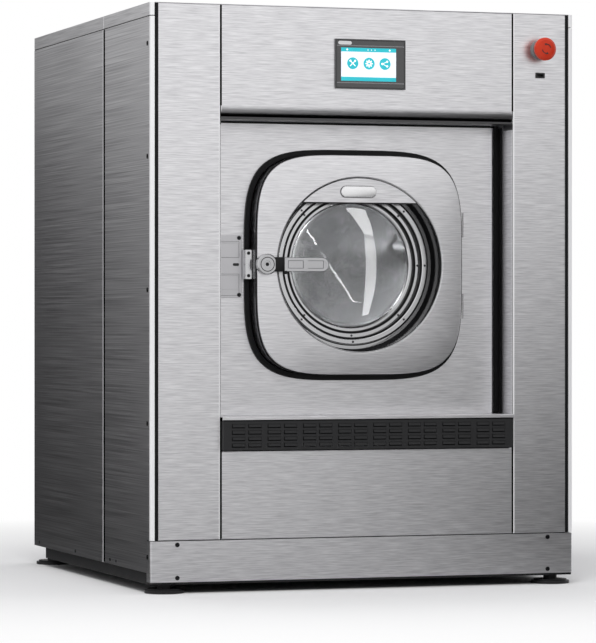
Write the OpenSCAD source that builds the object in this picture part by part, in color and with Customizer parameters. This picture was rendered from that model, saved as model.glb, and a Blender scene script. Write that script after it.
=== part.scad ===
/* [Cabinet] */
// Width of the cabinet over its side panels
cabinet_w = 1200; // [1150:10:1300]
// Depth of the cabinet from the front panels to the rear panel
cabinet_d = 1228; // [1200:4:1300]
// Height of the cabinet over its top cover
cabinet_h = 1553; // [1530:5:1620]
// Thickness of the stainless panels
sheet = 2; // [1.5:0.1:2.4]
// Width of the dark seams between panels
seam = 2; // [1.4:0.2:2.6]
// Outer radius of the wrapped front corners
corner_r = 6; // [4:1:9]
// Width of the lip that each side panel wraps round the front corner
corner_lip = 12; // [10:1:16]
// Depth of the folded panel edges
fold = 16; // [12:1:20]
// Height at which the side panels start
side_z = 54; // [50:1:60]
// Distance from the front to the seam between the front and rear cabinet halves
side_seam_y = 459; // [440:5:480]
// Height of the side band of the top covers
cover_band = 35; // [28:1:44]

/* [Base] */
// Diameter of the levelling pads
foot_d = 104; // [96:2:106]
// Thickness of the levelling pads
foot_h = 12; // [10:1:16]
// Radius of the levelling studs
stud_r = 10; // [8:1:12]
// Distance of the feet from the cabinet's sides
foot_inset = 50; // [49:1:54]
// Distance of the feet from the cabinet's front and rear
foot_end_y = 40; // [36:2:50]
// Height of the underside of the base rails
rail_z = 24; // [22:1:28]
// Width of the base rails
rail_w = 66; // [64:2:72]
// Height of the base rails
rail_h = 60; // [52:2:66]
// Wall of the base channels
rail_t = 6; // [4:1:8]
// Distance of the base's rear cross-member from the cabinet's rear
base_short = 127; // [118:1:148]
// Width of the frame posts
post_w = 40; // [30:2:44]
// Wall of the frame posts
post_t = 4; // [3:0.5:6]

/* [Front panels] */
// Height of the bottom edge of the skirt
skirt_z = 30; // [28:1:36]
// Height of the skirt
skirt_h = 108; // [100:2:116]
// Length of the skirt's returns along the sides
skirt_return = 35; // [30:1:45]
// Height of the lower front panel
lower_h = 233; // [225:2:245]
// Height of the vent strip
vent_h = 77; // [75:1:84]
// Depth that the vent strip stands proud
vent_proud = 20; // [14:1:24]
// Height of the sill over the vent strip
sill_h = 12; // [9:1:16]
// How much wider the recess is than the door
recess_margin_w = 248; // [227:3:267]
// Centre of the recess to the right of the cabinet's centre
recess_shift = 8.5; // [0:0.5:10]
// How much higher the recess is than the door
recess_margin_h = 198; // [182:2:212]
// Depth of the recess
recess_d = 90; // [84:1:94]
// Gap between the recess head and the upper panel
head_gap = 8; // [6:1:12]
// Radius of the folded edges of the recessed panel
recess_edge_r = 10; // [6:1:12]
// Width of the rubber channel round the recessed panel
channel_w = 15; // [12:1:18]
// Width of the bulkhead's air window
window_w = 760; // [600:10:780]
// Distance of the air window from the base rail and from the sill
window_margin = 60; // [50:2:90]
// Width of the dark strip between side panel and column
corner_gap = 10; // [8:1:14]

/* [Vent strip] */
// Columns of louvres
louvre_columns = 16; // [12:2:16]
// Rows of louvres
louvre_rows = 4; // [3:1:4]
// Length of one louvre slot
louvre_w = 37; // [34:1:40]
// Gap between the two louvres of a pair
louvre_gap = 8.4; // [6:0.2:12]
// Distance from the vent strip's end to its first louvre
louvre_margin = 23; // [18:1:28]
// Height of one louvre slot
louvre_h = 11; // [8:1:12]
// Distance between rows of louvres
louvre_pitch = 17; // [15:1:18]
// Wall of the vent strip
vent_wall = 3; // [2:0.5:4]

/* [Door] */
// Width of the door
door_w = 583; // [575:1:589]
// Height of the door
door_h = 588; // [580:1:592]
// Exponent that rounds the door's corners
door_round = 4.4; // [3.6:0.1:5]
// Door centre left of the recess's centre
door_shift = 11; // [4:1:14]
// Gap between the sill and the door
door_gap_low = 109; // [101:1:117]
// Depth of the door's face behind the cabinet's front
door_face_y = 35; // [32:1:37]
// Depth of the door shell from its face to its back edge
door_shell = 63; // [58:1:64]
// Width of the door's face on either side of its round hole
porthole_margin = 56; // [53.5:0.5:63]
// How much wider the opening in the recessed panel is than the door
opening_margin_w = 40; // [34:1:49]
// How much higher the opening in the recessed panel is than the door
opening_margin_h = 33; // [29:1:44]
// Exponent that rounds the opening's corners
opening_round = 4.2; // [3.6:0.1:5]
// Width of the black rubber seen round the door
gasket_w = 12; // [8:0.5:12]
// Depth of the first step inside the porthole
step_one_y = 100; // [98:0.5:102]
// Width of the first step
step_one_w = 35.5; // [31:0.5:40]
// Depth of the second step
step_two_y = 112; // [110:0.5:114]
// Width of the second step
step_two_w = 18; // [17:0.5:22]
// Width of the two screw rings
ring_w = 14; // [11:1:16]
// Screws in each ring
ring_screws = 8; // [6:1:10]
// Width of the glass's rim outside its clear part
glass_rim = 12; // [10:1:18]
// Thickness of the glass
glass_t = 8; // [6:1:9]
// Depth of the glass bowl
bowl_depth = 46; // [30:2:50]
// Height of the crown plate at the top of the round hole
crown_h = 68; // [55:0.5:75]
// Width of the bare badge on the crown plate
badge_w = 101; // [80:1:120]
// Height of the badge
badge_h = 30; // [20:1:34]
// Distance of the badge's centre below the top of the round hole
badge_drop = 39.5; // [34:0.5:44]

/* [Door furniture] */
// Distance of the hinge axis from the door's right edge
hinge_gap = 11; // [10.5:0.5:12]
// Depth of the hinge axis behind the cabinet's front
hinge_y = 70; // [68:1:72]
// Height of each hinge above and below the door's centre
hinge_rise = 110; // [100:5:115]
// Radius of the hinge knuckles
knuckle_r = 7; // [6.4:0.2:7.6]
// Height of one hinge knuckle
knuckle_h = 22; // [18:1:26]
// Radius of the hinge pins
hinge_pin_r = 3.5; // [3:0.25:4]
// Radius of the handle's hub
hub_r = 28; // [25:1:30]
// Distance of the handle's axis from the door's left edge
handle_inset = 23.5; // [21.5:0.5:25.5]
// Length of the lever from its axis
lever_l = 173; // [160:1:180]
// Width of the lever
lever_w = 38; // [34:1:42]
// Thickness of the lever
lever_t = 12; // [9:1:13]
// Gap between the turning handle and the door's face
handle_gap = 1; // [0.5:0.1:1.5]
// Radius of the crank that throws the bolt
crank_r = 11; // [9:0.5:11]
// Travel of the bolt
bolt_travel = 14.1; // [11:0.1:14.1]
// Radius of the crank pin
crank_pin_r = 3; // [2.5:0.1:3.2]

/* [Controls] */
// Centre of the touch screen right of the cabinet's centre
screen_x = 11.5; // [0:0.5:20]
// Distance of the touch screen's centre below the middle of the upper panel
screen_low = 1.7; // [-5:0.1:8]
// Width of the touch screen's bezel
bezel_w = 199; // [190:1:210]
// Height of the touch screen's bezel
bezel_h = 132.5; // [126:0.5:138]
// Depth that the bezel stands proud
bezel_proud = 6; // [4:0.5:8]
// Centre of the emergency stop from the cabinet's centre
stop_x = 504; // [495:1:512]
// Distance of the emergency stop below the cabinet's top
stop_drop = 99; // [83:1:108]
// Radius of the emergency stop's head
stop_r = 31; // [20:1:32]
// Depth that the emergency stop stands proud
stop_proud = 46; // [40:1:50]
// Travel of the emergency stop
stop_travel = 6; // [4:1:8]
// Length of the emergency stop's guide behind the front
stop_guide = 45; // [40:1:55]
// Distance of the service socket below the emergency stop
socket_drop = 69.5; // [60:0.5:80]

/* [Tub and drum] */
// Outer radius of the tub
tub_r = 500; // [490:2:505]
// Wall of the tub
tub_t = 3; // [2.5:0.5:4]
// Distance from the cabinet's front to the tub's front plate
tub_front_y = 190; // [188:1:194]
// Length of the tub's shell
tub_l = 604; // [596:2:612]
// Thickness of the tub's end plates
tub_plate = 6; // [5:0.5:7]
// Radius of the tub's mouth
tub_mouth_r = 228; // [224:1:234]
// Outer radius of the drum
drum_r = 452; // [440:2:460]
// Wall of the drum
drum_t = 2; // [1.5:0.5:3]
// Radius of the drum's mouth
drum_mouth_r = 215; // [212:1:220]
// Length of the drum
drum_l = 557; // [545:2:561]
// Gap between the tub's front plate and the drum
drum_front_gap = 18; // [17:1:20]
// Lifters in the drum
lifters_n = 3; // [3:1:4]
// Height of a lifter
lifter_h = 78; // [60:2:90]
// Radius of the drum's shaft
shaft_r = 40; // [34:1:44]
// Radial clearance of the running fits
running_gap = 0.05; // [0.02:0.01:0.09]
// Length of the bearing housing behind the tub
housing_l = 160; // [140:2:170]
// Radius of the bearing housing
housing_r = 90; // [84:1:96]
// Radius of the bearing housing's flange
flange_r = 150; // [140:2:155]
// Thickness of the bearing housing's flange
flange_t = 26; // [20:1:30]
// Width across the stiffening ribs behind the tub
rib_d = 40; // [30:1:46]
// Float of the tub up and down on its springs
tub_float = 12; // [8:1:14]

/* [Drive] */
// Radius of the drum's pulley
drum_pulley_r = 280; // [260:4:290]
// Radius of the motor's pulley
motor_pulley_r = 70; // [60:2:76]
// Width of the pulleys
pulley_w = 60; // [56:2:66]
// Radius of the motor
motor_r = 105; // [90:2:110]
// Length of the motor
motor_l = 220; // [200:5:225]
// Motor's axis to the right of the drum's axis
motor_dx = 232; // [226:1:238]
// Motor's axis below the drum's axis
motor_dz = 575; // [565:1:585]
// Belts side by side
belts_n = 3; // [2:1:3]
// Depth of a belt
belt_t = 10; // [8:0.5:11]
// Width of a belt
belt_w = 13; // [11:0.5:14]

/* [Suspension] */
// Distance of the springs from the drum's axis
spring_dx = 400; // [390:2:408]
// Distance of the dampers from the drum's axis
damper_dx = 300; // [296:1:306]
// Length of a damper's cylinder
damper_l = 150; // [130:5:160]
// Depth of the front pair of springs
spring_front_y = 300; // [290:2:310]
// Depth of the rear pair of springs
spring_rear_y = 700; // [690:2:704]
// Radius of the spring coils
coil_r = 38; // [32:1:40]
// Radius of the spring wire
wire_r = 6; // [5:0.5:6.5]
// Turns of each spring
coil_turns = 6; // [5:1:7]
// Height of the tub's spring brackets over the floor
bracket_z = 330; // [320:2:340]

/* [Services] */
// Width of the electrical enclosure
control_w = 500; // [400:10:600]
// Height of the electrical enclosure
control_h = 275; // [200:5:300]
// Depth of the electrical enclosure
control_d = 200; // [140:5:200]
// Distance of the electrical enclosure below the cabinet's top
control_drop = 83; // [60:1:110]
// Centre of the electrical enclosure left of the cabinet's centre
control_shift = 10; // [0:1:40]
// Width of the drive unit in the enclosure
drive_w = 160; // [120:5:200]
// Height of the drive unit
drive_h = 180; // [120:5:200]
// Depth of the drive unit
drive_d = 118; // [80:2:130]
// Length of a water inlet inside the cabinet
inlet_l = 60; // [55:1:65]
// Radius of the threaded water inlets
inlet_r = 13.2; // [12:0.1:14]
// Distance of the water inlets below the cabinet's top
inlet_drop = 253; // [220:1:280]
// Distance between neighbouring water inlets
inlet_pitch = 70; // [60:1:80]
// Distance of the middle inlet from the cabinet's centre
inlet_x = 400; // [380:1:420]
// Radius of the drain outlet
drain_r = 38; // [34:1:40]
// Height of the drain outlet
drain_z = 168; // [162:1:172]
// Depth that the connections stand proud of the rear panel
rear_proud = 46; // [40:1:50]

/* [Hidden] */
$fn = 64;

// Clearance between pieces that seat on each other
seat = 0.3;
// Gap left at welded corners, so that each bar stays a solid of its own
weld = 0.2;
// How far a cutter runs past the face that it cuts
past = 1;

half_w = cabinet_w / 2;
base_d = cabinet_d - base_short;
recess_w = door_w + recess_margin_w;
recess_h = door_h + recess_margin_h;
recess_x = [recess_shift - recess_w / 2, recess_shift + recess_w / 2];
lower_z = skirt_z + skirt_h + seam;
vent_z = lower_z + lower_h + seam;
sill_z = vent_z + vent_h;
recess_z = sill_z + sill_h;
head_z = recess_z + recess_h;
upper_z = head_z + head_gap;
panel_top = cabinet_h - sheet;
cover_z = cabinet_h - cover_band;
column_x = half_w - corner_lip - corner_gap;
bulkhead_y = recess_d + sheet + 20;
bulkhead_t = 4;
axis_x = recess_shift - door_shift;
axis_z = recess_z + door_gap_low + door_h / 2;
opening_w = door_w + opening_margin_w;
opening_h = door_h + opening_margin_h;
porthole_r = door_w / 2 - porthole_margin;
step_one_r = porthole_r - step_one_w;
step_two_r = step_one_r - step_two_w;
glass_r = step_two_r - glass_rim;
rail_top = rail_z + rail_h;
hinge_x = axis_x + door_w / 2 + hinge_gap;
handle_axis_x = axis_x - door_w / 2 + handle_inset;
door_back_y = door_face_y + door_shell;
tub_back_y = tub_front_y + tub_plate + tub_l;
drum_front_y = tub_front_y + tub_plate + drum_front_gap;
drum_back_y = drum_front_y + drum_l;
hub_front_y = door_face_y - 17;
screen_z = (upper_z + panel_top) / 2 - screen_low;
stop_z = cabinet_h - stop_drop;
socket_z = stop_z - socket_drop;
inlet_z = cabinet_h - inlet_drop;
spring_ys = [spring_front_y, spring_rear_y];

// A squircle outline of width w and height h
function squircle(w, h, power, n = 96) = [
  for (i = [0 : n - 1])
    let (a = 360 * i / n, c = cos(a), s = sin(a))
    [sign(c) * w / 2 * pow(abs(c), 2 / power), sign(s) * h / 2 * pow(abs(s), 2 / power)]
];

// Everything below is placed from the cabinet's front plane and then centred on the cabinet's depth
module placed() {
  translate([0, -cabinet_d / 2, 0])
    children();
}

// A block given by its low and high corner along each axis
module block(x, y, z) {
  translate([x[0], y[0], z[0]])
    cube([x[1] - x[0], y[1] - y[0], z[1] - z[0]]);
}

// A low and a high value on either side of the middle
function span(middle, half) = [middle - half, middle + half];

// The same thing on the left and on the right of the cabinet
module both_sides() {
  children();
  mirror([1, 0, 0])
    children();
}

// A flat outline in X and Z made as thick as y says
module plate(y) {
  translate([0, y[1], 0])
    rotate([90, 0, 0])
      linear_extrude(y[1] - y[0])
        children();
}

// A round bar along the depth, centred at x and z
module bar(x, z, r, y) {
  translate([x, y[0], z])
    rotate([-90, 0, 0])
      cylinder(r = r, h = y[1] - y[0], $fn = r > 150 ? 180 : 64);
}

// A tube along the depth
module tube(x, z, r, bore, y) {
  difference() {
    bar(x, z, r, y);
    bar(x, z, bore, [y[0] - past, y[1] + past]);
  }
}

// A shape turned about an axis along the depth, drawn as radius and depth
module turned(x, z, points) {
  translate([x, 0, z])
    rotate([-90, 0, 0])
      rotate_extrude($fn = 128)
        polygon(points);
}

// A quarter of a bent sheet: the corner at the origin, turned by a
module bend(r, t, a) {
  rotate(a)
    intersection() {
      difference() {
        circle(r);
        circle(r - t);
      }
      square(r);
    }
}

// A coil spring swept as one unbroken wire, standing on z = 0
module coil(height, r, wire, turns, steps = 10, sides = 6) {
  n = turns * steps;
  rise = height - 2 * wire;
  rings = [
    for (i = [0 : n])
      let (a = 360 * i / steps, z = wire + rise * i / n)
      [for (k = [0 : sides - 1])
        let (b = 360 * k / sides + 30)
        [(r + wire * cos(b)) * cos(a), (r + wire * cos(b)) * sin(a), z + wire * sin(b)]]
  ];
  points = [for (ring = rings) for (p = ring) p];
  skin = [
    for (i = [0 : n - 1])
      for (k = [0 : sides - 1])
        let (a = i * sides + k, b = i * sides + (k + 1) % sides)
        each [[a, a + sides, b], [b, a + sides, b + sides]]
  ];
  ends = [
    [for (k = [0 : sides - 1]) k],
    [for (k = [sides - 1 : -1 : 0]) n * sides + k]
  ];
  polyhedron(points = points, faces = concat(skin, ends), convexity = turns * 2);
}

// A C channel lying along X or Y with its web to the outside
module channel_y(x, y, web) {
  difference() {
    block(x, y, [rail_z, rail_top]);
    block(
      web < 0 ? [x[0] + rail_t, x[1] + past] : [x[0] - past, x[1] - rail_t],
      [y[0] - past, y[1] + past],
      [rail_z + rail_t, rail_top - rail_t]
    );
  }
}

module channel_x(x, y) {
  difference() {
    block(x, y, [rail_z, rail_top]);
    block([x[0] - past, x[1] + past], [y[0] + rail_t, y[1] - rail_t], [rail_z - past, rail_top - rail_t]);
  }
}

foot_x = half_w - foot_inset;
foot_ys = [foot_end_y, cabinet_d - foot_end_y];
seat_h = 6;
tail_w = 36;

module base_frame() {
  inner = half_w - sheet - rail_w;
  bearer = 50;
  color("dimgray") placed() {
    both_sides()
      difference() {
        union() {
          channel_y([inner, half_w - sheet], [corner_r, base_d], 1);
          channel_y([inner, inner + tail_w], [base_d - rail_t, cabinet_d - 2 * rail_t], 1);
        }
        for (y = foot_ys)
          translate([foot_x, y, rail_z - past])
            cylinder(r = stud_r + seat, h = rail_t + 2 * past);
      }
    for (y = [[sheet, sheet + rail_w], [base_d - rail_w, base_d]])
      channel_x([weld - inner, inner - weld], y);
    for (y = spring_ys)
      channel_x([weld - inner, inner - weld], span(y, bearer));
    for (y = spring_ys, side = [-1, 1])
      translate([axis_x + side * spring_dx, y, rail_top])
        difference() {
          cylinder(r = coil_r + wire_r + 4, h = seat_h);
          translate([0, 0, 2])
            cylinder(r = coil_r + wire_r + 1, h = seat_h);
        }
  }
}

module levelling_feet() {
  nut_r = 20;
  color("black") placed()
    both_sides()
      for (y = foot_ys)
        translate([foot_x, y, 0]) {
          cylinder(d = foot_d, h = foot_h - 4);
          translate([0, 0, foot_h - 4])
            cylinder(d = foot_d - 14, h = 4);
          translate([0, 0, foot_h])
            cylinder(r = nut_r, h = rail_z - foot_h, $fn = 6);
          cylinder(r = stud_r, h = rail_z + 30);
        }
}

post_ys = [bulkhead_y + bulkhead_t, side_seam_y - post_w / 2, base_d - post_w];

module upper_frame() {
  outer = half_w - sheet;
  rail = panel_top - post_w;
  color("slategray") placed() {
    both_sides() {
      for (y = post_ys)
        difference() {
          block([outer - post_w, outer], [y, y + post_w], [rail_top, rail - weld]);
          block(
            [outer - post_w - past, outer - post_t],
            [y + post_t, y + post_w - post_t],
            [rail_top - past, rail]
          );
        }
      difference() {
        block([outer - post_w, outer], [post_ys[0], cabinet_d - sheet], [rail, panel_top]);
        block([outer - post_w - past, outer - post_t], [0, cabinet_d], [rail - past, panel_top - post_t]);
      }
    }
    for (y = post_ys)
      difference() {
        block([post_w + weld - outer, outer - post_w - weld], [y, y + post_w], [rail, panel_top]);
        block(
          [-outer, outer],
          [y + post_t, y + post_w + past],
          [rail - past, panel_top - post_t]
        );
      }
  }
}

// The outline of a sheet bent round both front corners, seen from above
module wrap_outline(w, d, r, t) {
  for (side = [0, 1])
    mirror([side, 0, 0]) {
      translate([w / 2 - t, r])
        square([t, d - r]);
      translate([w / 2 - r, r])
        bend(r, t, -90);
    }
  translate([r - w / 2, 0])
    square([w - 2 * r, t]);
}

module skirt_panel() {
  color("silver") placed() {
    translate([0, 0, skirt_z])
      linear_extrude(skirt_h)
        wrap_outline(cabinet_w, skirt_return, corner_r, sheet);
    block([corner_r - half_w, half_w - corner_r], [sheet - 0.5, fold], [lower_z - seam - sheet, lower_z - seam]);
  }
}

// One flat front panel whose four edges are folded back
module folded_front(x, z, depth = fold) {
  difference() {
    block(x, [0, depth], z);
    block(
      [x[0] + sheet, x[1] - sheet],
      [sheet, depth + past],
      [z[0] + sheet, z[1] - sheet]
    );
  }
}

module column_panels() {
  color("silver") placed() {
    folded_front([-column_x, recess_x[0] - seam / 2], [lower_z, panel_top]);
    difference() {
      folded_front([recess_x[1] + seam / 2, column_x], [lower_z, panel_top]);
      bar(stop_x, stop_z, 11 + seat, [-past, sheet + past]);
      block(
        [stop_x - 12, stop_x + 12],
        [-past, sheet + past],
        [socket_z - 6, socket_z + 6]
      );
    }
  }
}

upper_x = [recess_x[0] + seam / 2, recess_x[1] - seam / 2];
nose_r = 12;

module upper_front_panel() {
  color("silver") placed()
    difference() {
      union() {
        difference() {
          folded_front(upper_x, [upper_z, panel_top], fold + 4);
          block([upper_x[0] - past, upper_x[1] + past], [-past, nose_r], [upper_z - past, upper_z + nose_r]);
        }
        translate([upper_x[0], nose_r, upper_z + nose_r])
          rotate([90, 0, 90])
            linear_extrude(upper_x[1] - upper_x[0])
              bend(nose_r, sheet, 180);
      }
      block(
        [screen_x - bezel_w / 2 + 8, screen_x + bezel_w / 2 - 8],
        [-past, sheet + past],
        [screen_z - bezel_h / 2 + 8, screen_z + bezel_h / 2 - 8]
      );
    }
}

module lower_front_panel() {
  color("silver") placed()
    folded_front(upper_x, [lower_z, lower_z + lower_h]);
}

sill_nose = vent_proud - 4;

module recess_surround() {
  wall_back = bulkhead_y - seat;
  color("gray") placed() {
    difference() {
      block(recess_x, [sheet, wall_back], [recess_z - sheet, head_z + sheet]);
      block(
        [recess_x[0] + sheet, recess_x[1] - sheet],
        [0, wall_back + past],
        [recess_z, head_z]
      );
    }
    block(upper_x, [sheet, 2 * sheet], [head_z + sheet - 0.5, upper_z - sheet]);
    block(upper_x, [-sill_nose, 2 * sheet], [recess_z - sheet, recess_z]);
    block(upper_x, [-sill_nose, sheet - sill_nose], [sill_z + seam, recess_z]);
  }
}

module door_opening(grow = 0) {
  translate([axis_x, axis_z])
    polygon(squircle(opening_w + 2 * grow, opening_h + 2 * grow, opening_round));
}

panel_x = [recess_x[0] + sheet + channel_w, recess_x[1] - sheet - channel_w];
panel_z = [recess_z + seat, head_z - 6];

module recessed_panel() {
  r = recess_edge_r;
  color("silver") placed() {
    difference() {
      translate([0, 0, panel_z[0]])
        linear_extrude(panel_z[1] - panel_z[0])
          translate([(panel_x[0] + panel_x[1]) / 2, recess_d])
            wrap_outline(panel_x[1] - panel_x[0], bulkhead_y - seat - recess_d, r, sheet);
      plate([recess_d - past, recess_d + sheet + past])
        door_opening();
    }
    block(
      [panel_x[0] + r, panel_x[1] - r],
      [recess_d + sheet - 0.5, bulkhead_y - seat],
      [panel_z[1] - sheet, panel_z[1]]
    );
  }
}

module panel_seals() {
  deep = [3, 11];
  ring = [recess_d + 8, recess_d + 15];
  color("black") placed() {
    for (x = [[recess_x[0] + sheet, panel_x[0]], [panel_x[1], recess_x[1] - sheet]])
      block(x, ring, [recess_z, head_z]);
    block([panel_x[0] + recess_edge_r, panel_x[1] - recess_edge_r], ring, [panel_z[1], head_z]);
    both_sides()
      block([column_x, column_x + corner_gap], deep, [lower_z, panel_top]);
    for (x = recess_x, z = [[lower_z, lower_z + lower_h], [upper_z + nose_r, panel_top]])
      block([x - seam / 2, x + seam / 2], deep, z);
    for (x = [[recess_x[0] - seam / 2, recess_x[0]], [recess_x[1], recess_x[1] + seam / 2]])
      block(x, deep, [recess_z, head_z]);
    block([-column_x, column_x], deep, [lower_z - seam, lower_z]);
    block(upper_x, deep, [lower_z + lower_h, vent_z]);
    both_sides() {
      block([half_w - sheet, half_w - 0.5], [skirt_return + seam, cabinet_d - sheet], [cover_z - seam, cover_z]);
      block(
        [half_w - sheet, half_w - 0.5],
        [side_seam_y - seam / 2, side_seam_y + seam / 2],
        [side_z, cover_z - seam]
      );
    }
  }
}

bulkhead_hole_r = porthole_r + 14;
bulkhead_low = rail_top + 6;

module front_bulkhead() {
  color("dimgray") placed()
    difference() {
      block([sheet - half_w, half_w - sheet], [bulkhead_y, bulkhead_y + bulkhead_t], [bulkhead_low, upper_z + 40]);
      bar(axis_x, axis_z, bulkhead_hole_r, [bulkhead_y - past, bulkhead_y + bulkhead_t + past]);
      block(
        span(0, window_w / 2),
        [0, bulkhead_y + 2 * bulkhead_t],
        [rail_top + window_margin, sill_z - window_margin]
      );
    }
}

gasket_y = recess_d - 6;

module opening_gasket() {
  notch = knuckle_h * 1.5 + 3;
  color("black") placed()
    difference() {
      plate([gasket_y, bulkhead_y - seat])
        difference() {
          door_opening(-seat);
          door_opening(-gasket_w);
        }
      for (side = [-1, 1])
        block(
          [hinge_x - knuckle_r - 4, hinge_x + knuckle_r + 6],
          [gasket_y - past, bulkhead_y],
          [axis_z + side * hinge_rise - notch, axis_z + side * hinge_rise + notch]
        );
    }
}

vent_x = [recess_x[0] + seam, recess_x[1] - seam - 6];

module vent_grille() {
  near = louvre_w + louvre_gap;
  first = vent_x[0] + louvre_margin;
  pair = (vent_x[1] - louvre_margin - louvre_w - near - first) / (louvre_columns / 2 - 1);
  low = vent_z + (vent_h - louvre_pitch * (louvre_rows - 1)) / 2;
  color("black") placed()
    difference() {
      union() {
        block(vent_x, [-vent_proud, seat], [vent_z, sill_z]);
        block([recess_x[0] - seam / 2 + seat, recess_x[1] + seam / 2 - seat], [0, fold], [vent_z, sill_z]);
      }
      block(
        [vent_x[0] + vent_wall, vent_x[1] - vent_wall],
        [vent_wall - vent_proud, fold + past],
        [vent_z + vent_wall, sill_z - vent_wall]
      );
      for (i = [0 : louvre_columns / 2 - 1], side = [0, 1], row = [0 : louvre_rows - 1])
        translate([
          first + pair * i + side * near,
          -vent_proud - past,
          low + louvre_pitch * row - louvre_h / 2
        ])
          cube([louvre_w, vent_wall + 2 * past, louvre_h]);
    }
}

// The outline of a front side panel seen from above: lip, bent corner, flank and rear fold
module side_outline() {
  translate([half_w - corner_lip, 0])
    square([corner_lip - corner_r, sheet]);
  translate([half_w - corner_lip, sheet - 0.5])
    square([sheet, fold - 4]);
  translate([half_w - corner_r, corner_r])
    bend(corner_r, sheet, -90);
  translate([half_w - sheet, corner_r])
    square([sheet, side_seam_y - seam / 2 - corner_r]);
}

module side_panels() {
  color("silver") placed()
    both_sides() {
      difference() {
        translate([0, 0, side_z])
          linear_extrude(cover_z - seam - side_z)
            side_outline();
        block([0, half_w + past], [-past, skirt_return + seam], [0, lower_z]);
      }
      block([half_w - sheet, half_w], [side_seam_y + seam / 2, cabinet_d], [side_z, cover_z - seam]);
      block([half_w - fold, half_w - sheet + 0.5], [cabinet_d - sheet, cabinet_d], [side_z, cover_z - seam]);
    }
}

module top_covers() {
  top = [panel_top, cabinet_h];
  front = side_seam_y - seam / 2;
  rear = [side_seam_y + seam / 2, cabinet_d];
  color("silver") placed() {
    both_sides()
      translate([0, 0, cover_z])
        linear_extrude(cover_band)
          side_outline();
    block([corner_lip - half_w, half_w - corner_lip], [0, front], top);
    block([sheet - half_w, half_w - sheet], [sheet, front], top);
    both_sides()
      block([half_w - sheet, half_w], rear, [cover_z, cabinet_h]);
    block([sheet - half_w, half_w - sheet], rear, top);
    block([sheet - half_w, half_w - sheet], [cabinet_d - sheet, cabinet_d], [cover_z, panel_top]);
  }
}

inlet_xs = [inlet_x - inlet_pitch, inlet_x, inlet_x + inlet_pitch];

module rear_panel() {
  x = half_w - fold - 1;
  color("silver") placed()
    difference() {
      block([-x, x], [cabinet_d - sheet, cabinet_d], [side_z, cover_z - seam]);
      for (inlet = inlet_xs)
        bar(inlet, inlet_z, inlet_r + 2, [cabinet_d - 5, cabinet_d + past]);
      bar(axis_x, drain_z, drain_r + 2, [cabinet_d - 5, cabinet_d + past]);
    }
}

// A low screw head that stands proud of a face, pointing along its own +Z
module screw_head(r = 5.5, h = 2.2) {
  difference() {
    union() {
      cylinder(r = r, h = h * 0.6);
      cylinder(r = r * 0.75, h = h);
    }
    translate([0, 0, h * 0.4])
      cylinder(r = r * 0.45, h = h, $fn = 6);
  }
}

skirt_screw_x = 526;
skirt_screw_zs = [skirt_z + 11.4, skirt_z + skirt_h - 9.6];
side_screw_low = lower_z - 44;
side_screw_step = 351;
side_screw_top = cover_z - 72;
side_screw_zs = [
  for (z = [side_screw_low : side_screw_step : side_screw_top - side_screw_step / 2]) z,
  side_screw_top
];
low_screw_ys = [331, 392, 756, cabinet_d - 60];
cover_plate_x = [axis_x - opening_w / 2 - 66, axis_x - opening_w / 2 - 6];
strike_x = [cover_plate_x[1] + seat, axis_x - door_w / 2 - 2.5];
cover_plate_h = 168;

module cabinet_screws() {
  color("black") placed() {
    for (side = [-1, 1], z = skirt_screw_zs)
      translate([side * skirt_screw_x, 0, z])
        rotate([90, 0, 0])
          screw_head(6);
    both_sides() {
      for (z = side_screw_zs)
        translate([half_w, 27, z])
          rotate([0, 90, 0])
            screw_head(4.5, 1.6);
      for (y = low_screw_ys)
        translate([half_w, y, side_z + 12])
          rotate([0, 90, 0])
            screw_head(4.5, 1.6);
    }
    for (side = [-1, 1])
      translate([cover_plate_x[1] - 8, recess_d - sheet, axis_z - 5 + side * (cover_plate_h / 2 - 8)])
        rotate([90, 0, 0])
          screw_head(5.5, 1.6);
    for (side = [-1, 1])
      translate([strike_x[0] + 9, hinge_y - 12, axis_z + side * 30])
        rotate([90, 0, 0])
          screw_head(4.5, 1.6);
  }
}

module screen_bezel() {
  x = [screen_x - bezel_w / 2, screen_x + bezel_w / 2];
  z = [screen_z - bezel_h / 2, screen_z + bezel_h / 2];
  color("dimgray") placed()
    difference() {
      union() {
        block(x, [-bezel_proud, 0], z);
        block([x[0] + 8 + seat, x[1] - 8 - seat], [-past, 40], [z[0] + 8 + seat, z[1] - 8 - seat]);
      }
      block([x[0] + 4, x[1] - 4], [-bezel_proud - past, 2 - bezel_proud], [z[0] + 4, z[1] - 4]);
      block([x[0] + 14, x[1] - 14], [5 - bezel_proud, 40 + past], [z[0] + 14, z[1] - 14]);
    }
}

module screen_glass() {
  x = [screen_x - bezel_w / 2, screen_x + bezel_w / 2];
  z = [screen_z - bezel_h / 2, screen_z + bezel_h / 2];
  color("teal") placed()
    block([x[0] + 4 + seat, x[1] - 4 - seat], [0.4 - bezel_proud, 2 - bezel_proud], [z[0] + 4 + seat, z[1] - 4 - seat]);
}

stem_r = 7;
collar_y = 9;

module stop_collar() {
  color("gold") placed()
    turned(stop_x, stop_z, [
      [stem_r + running_gap, -collar_y], [24, -collar_y], [27, 3 - collar_y], [27, 0],
      [11, 0], [11, stop_guide], [stem_r + running_gap, stop_guide]
    ]);
}

module stop_stem() {
  color("gray") placed() {
    bar(stop_x, stop_z, stem_r, [seat - stop_proud + 12, stop_guide - stop_travel - 5]);
    bar(stop_x, stop_z, 4, [8 - stop_proud, 14 - stop_proud]);
  }
}

module stop_head() {
  y = -stop_proud;
  color("red") placed()
    difference() {
      turned(stop_x, stop_z, [
        [0, y], [stop_r * 0.5, y + 0.8], [stop_r * 0.8, y + 3], [stop_r, y + 8],
        [stop_r, y + 15], [stop_r - 5, y + 20], [14, y + 20], [12, y + 12], [0, y + 12]
      ]);
      bar(stop_x, stop_z, 4 + running_gap, [y + 7, y + 13]);
    }
}

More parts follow.
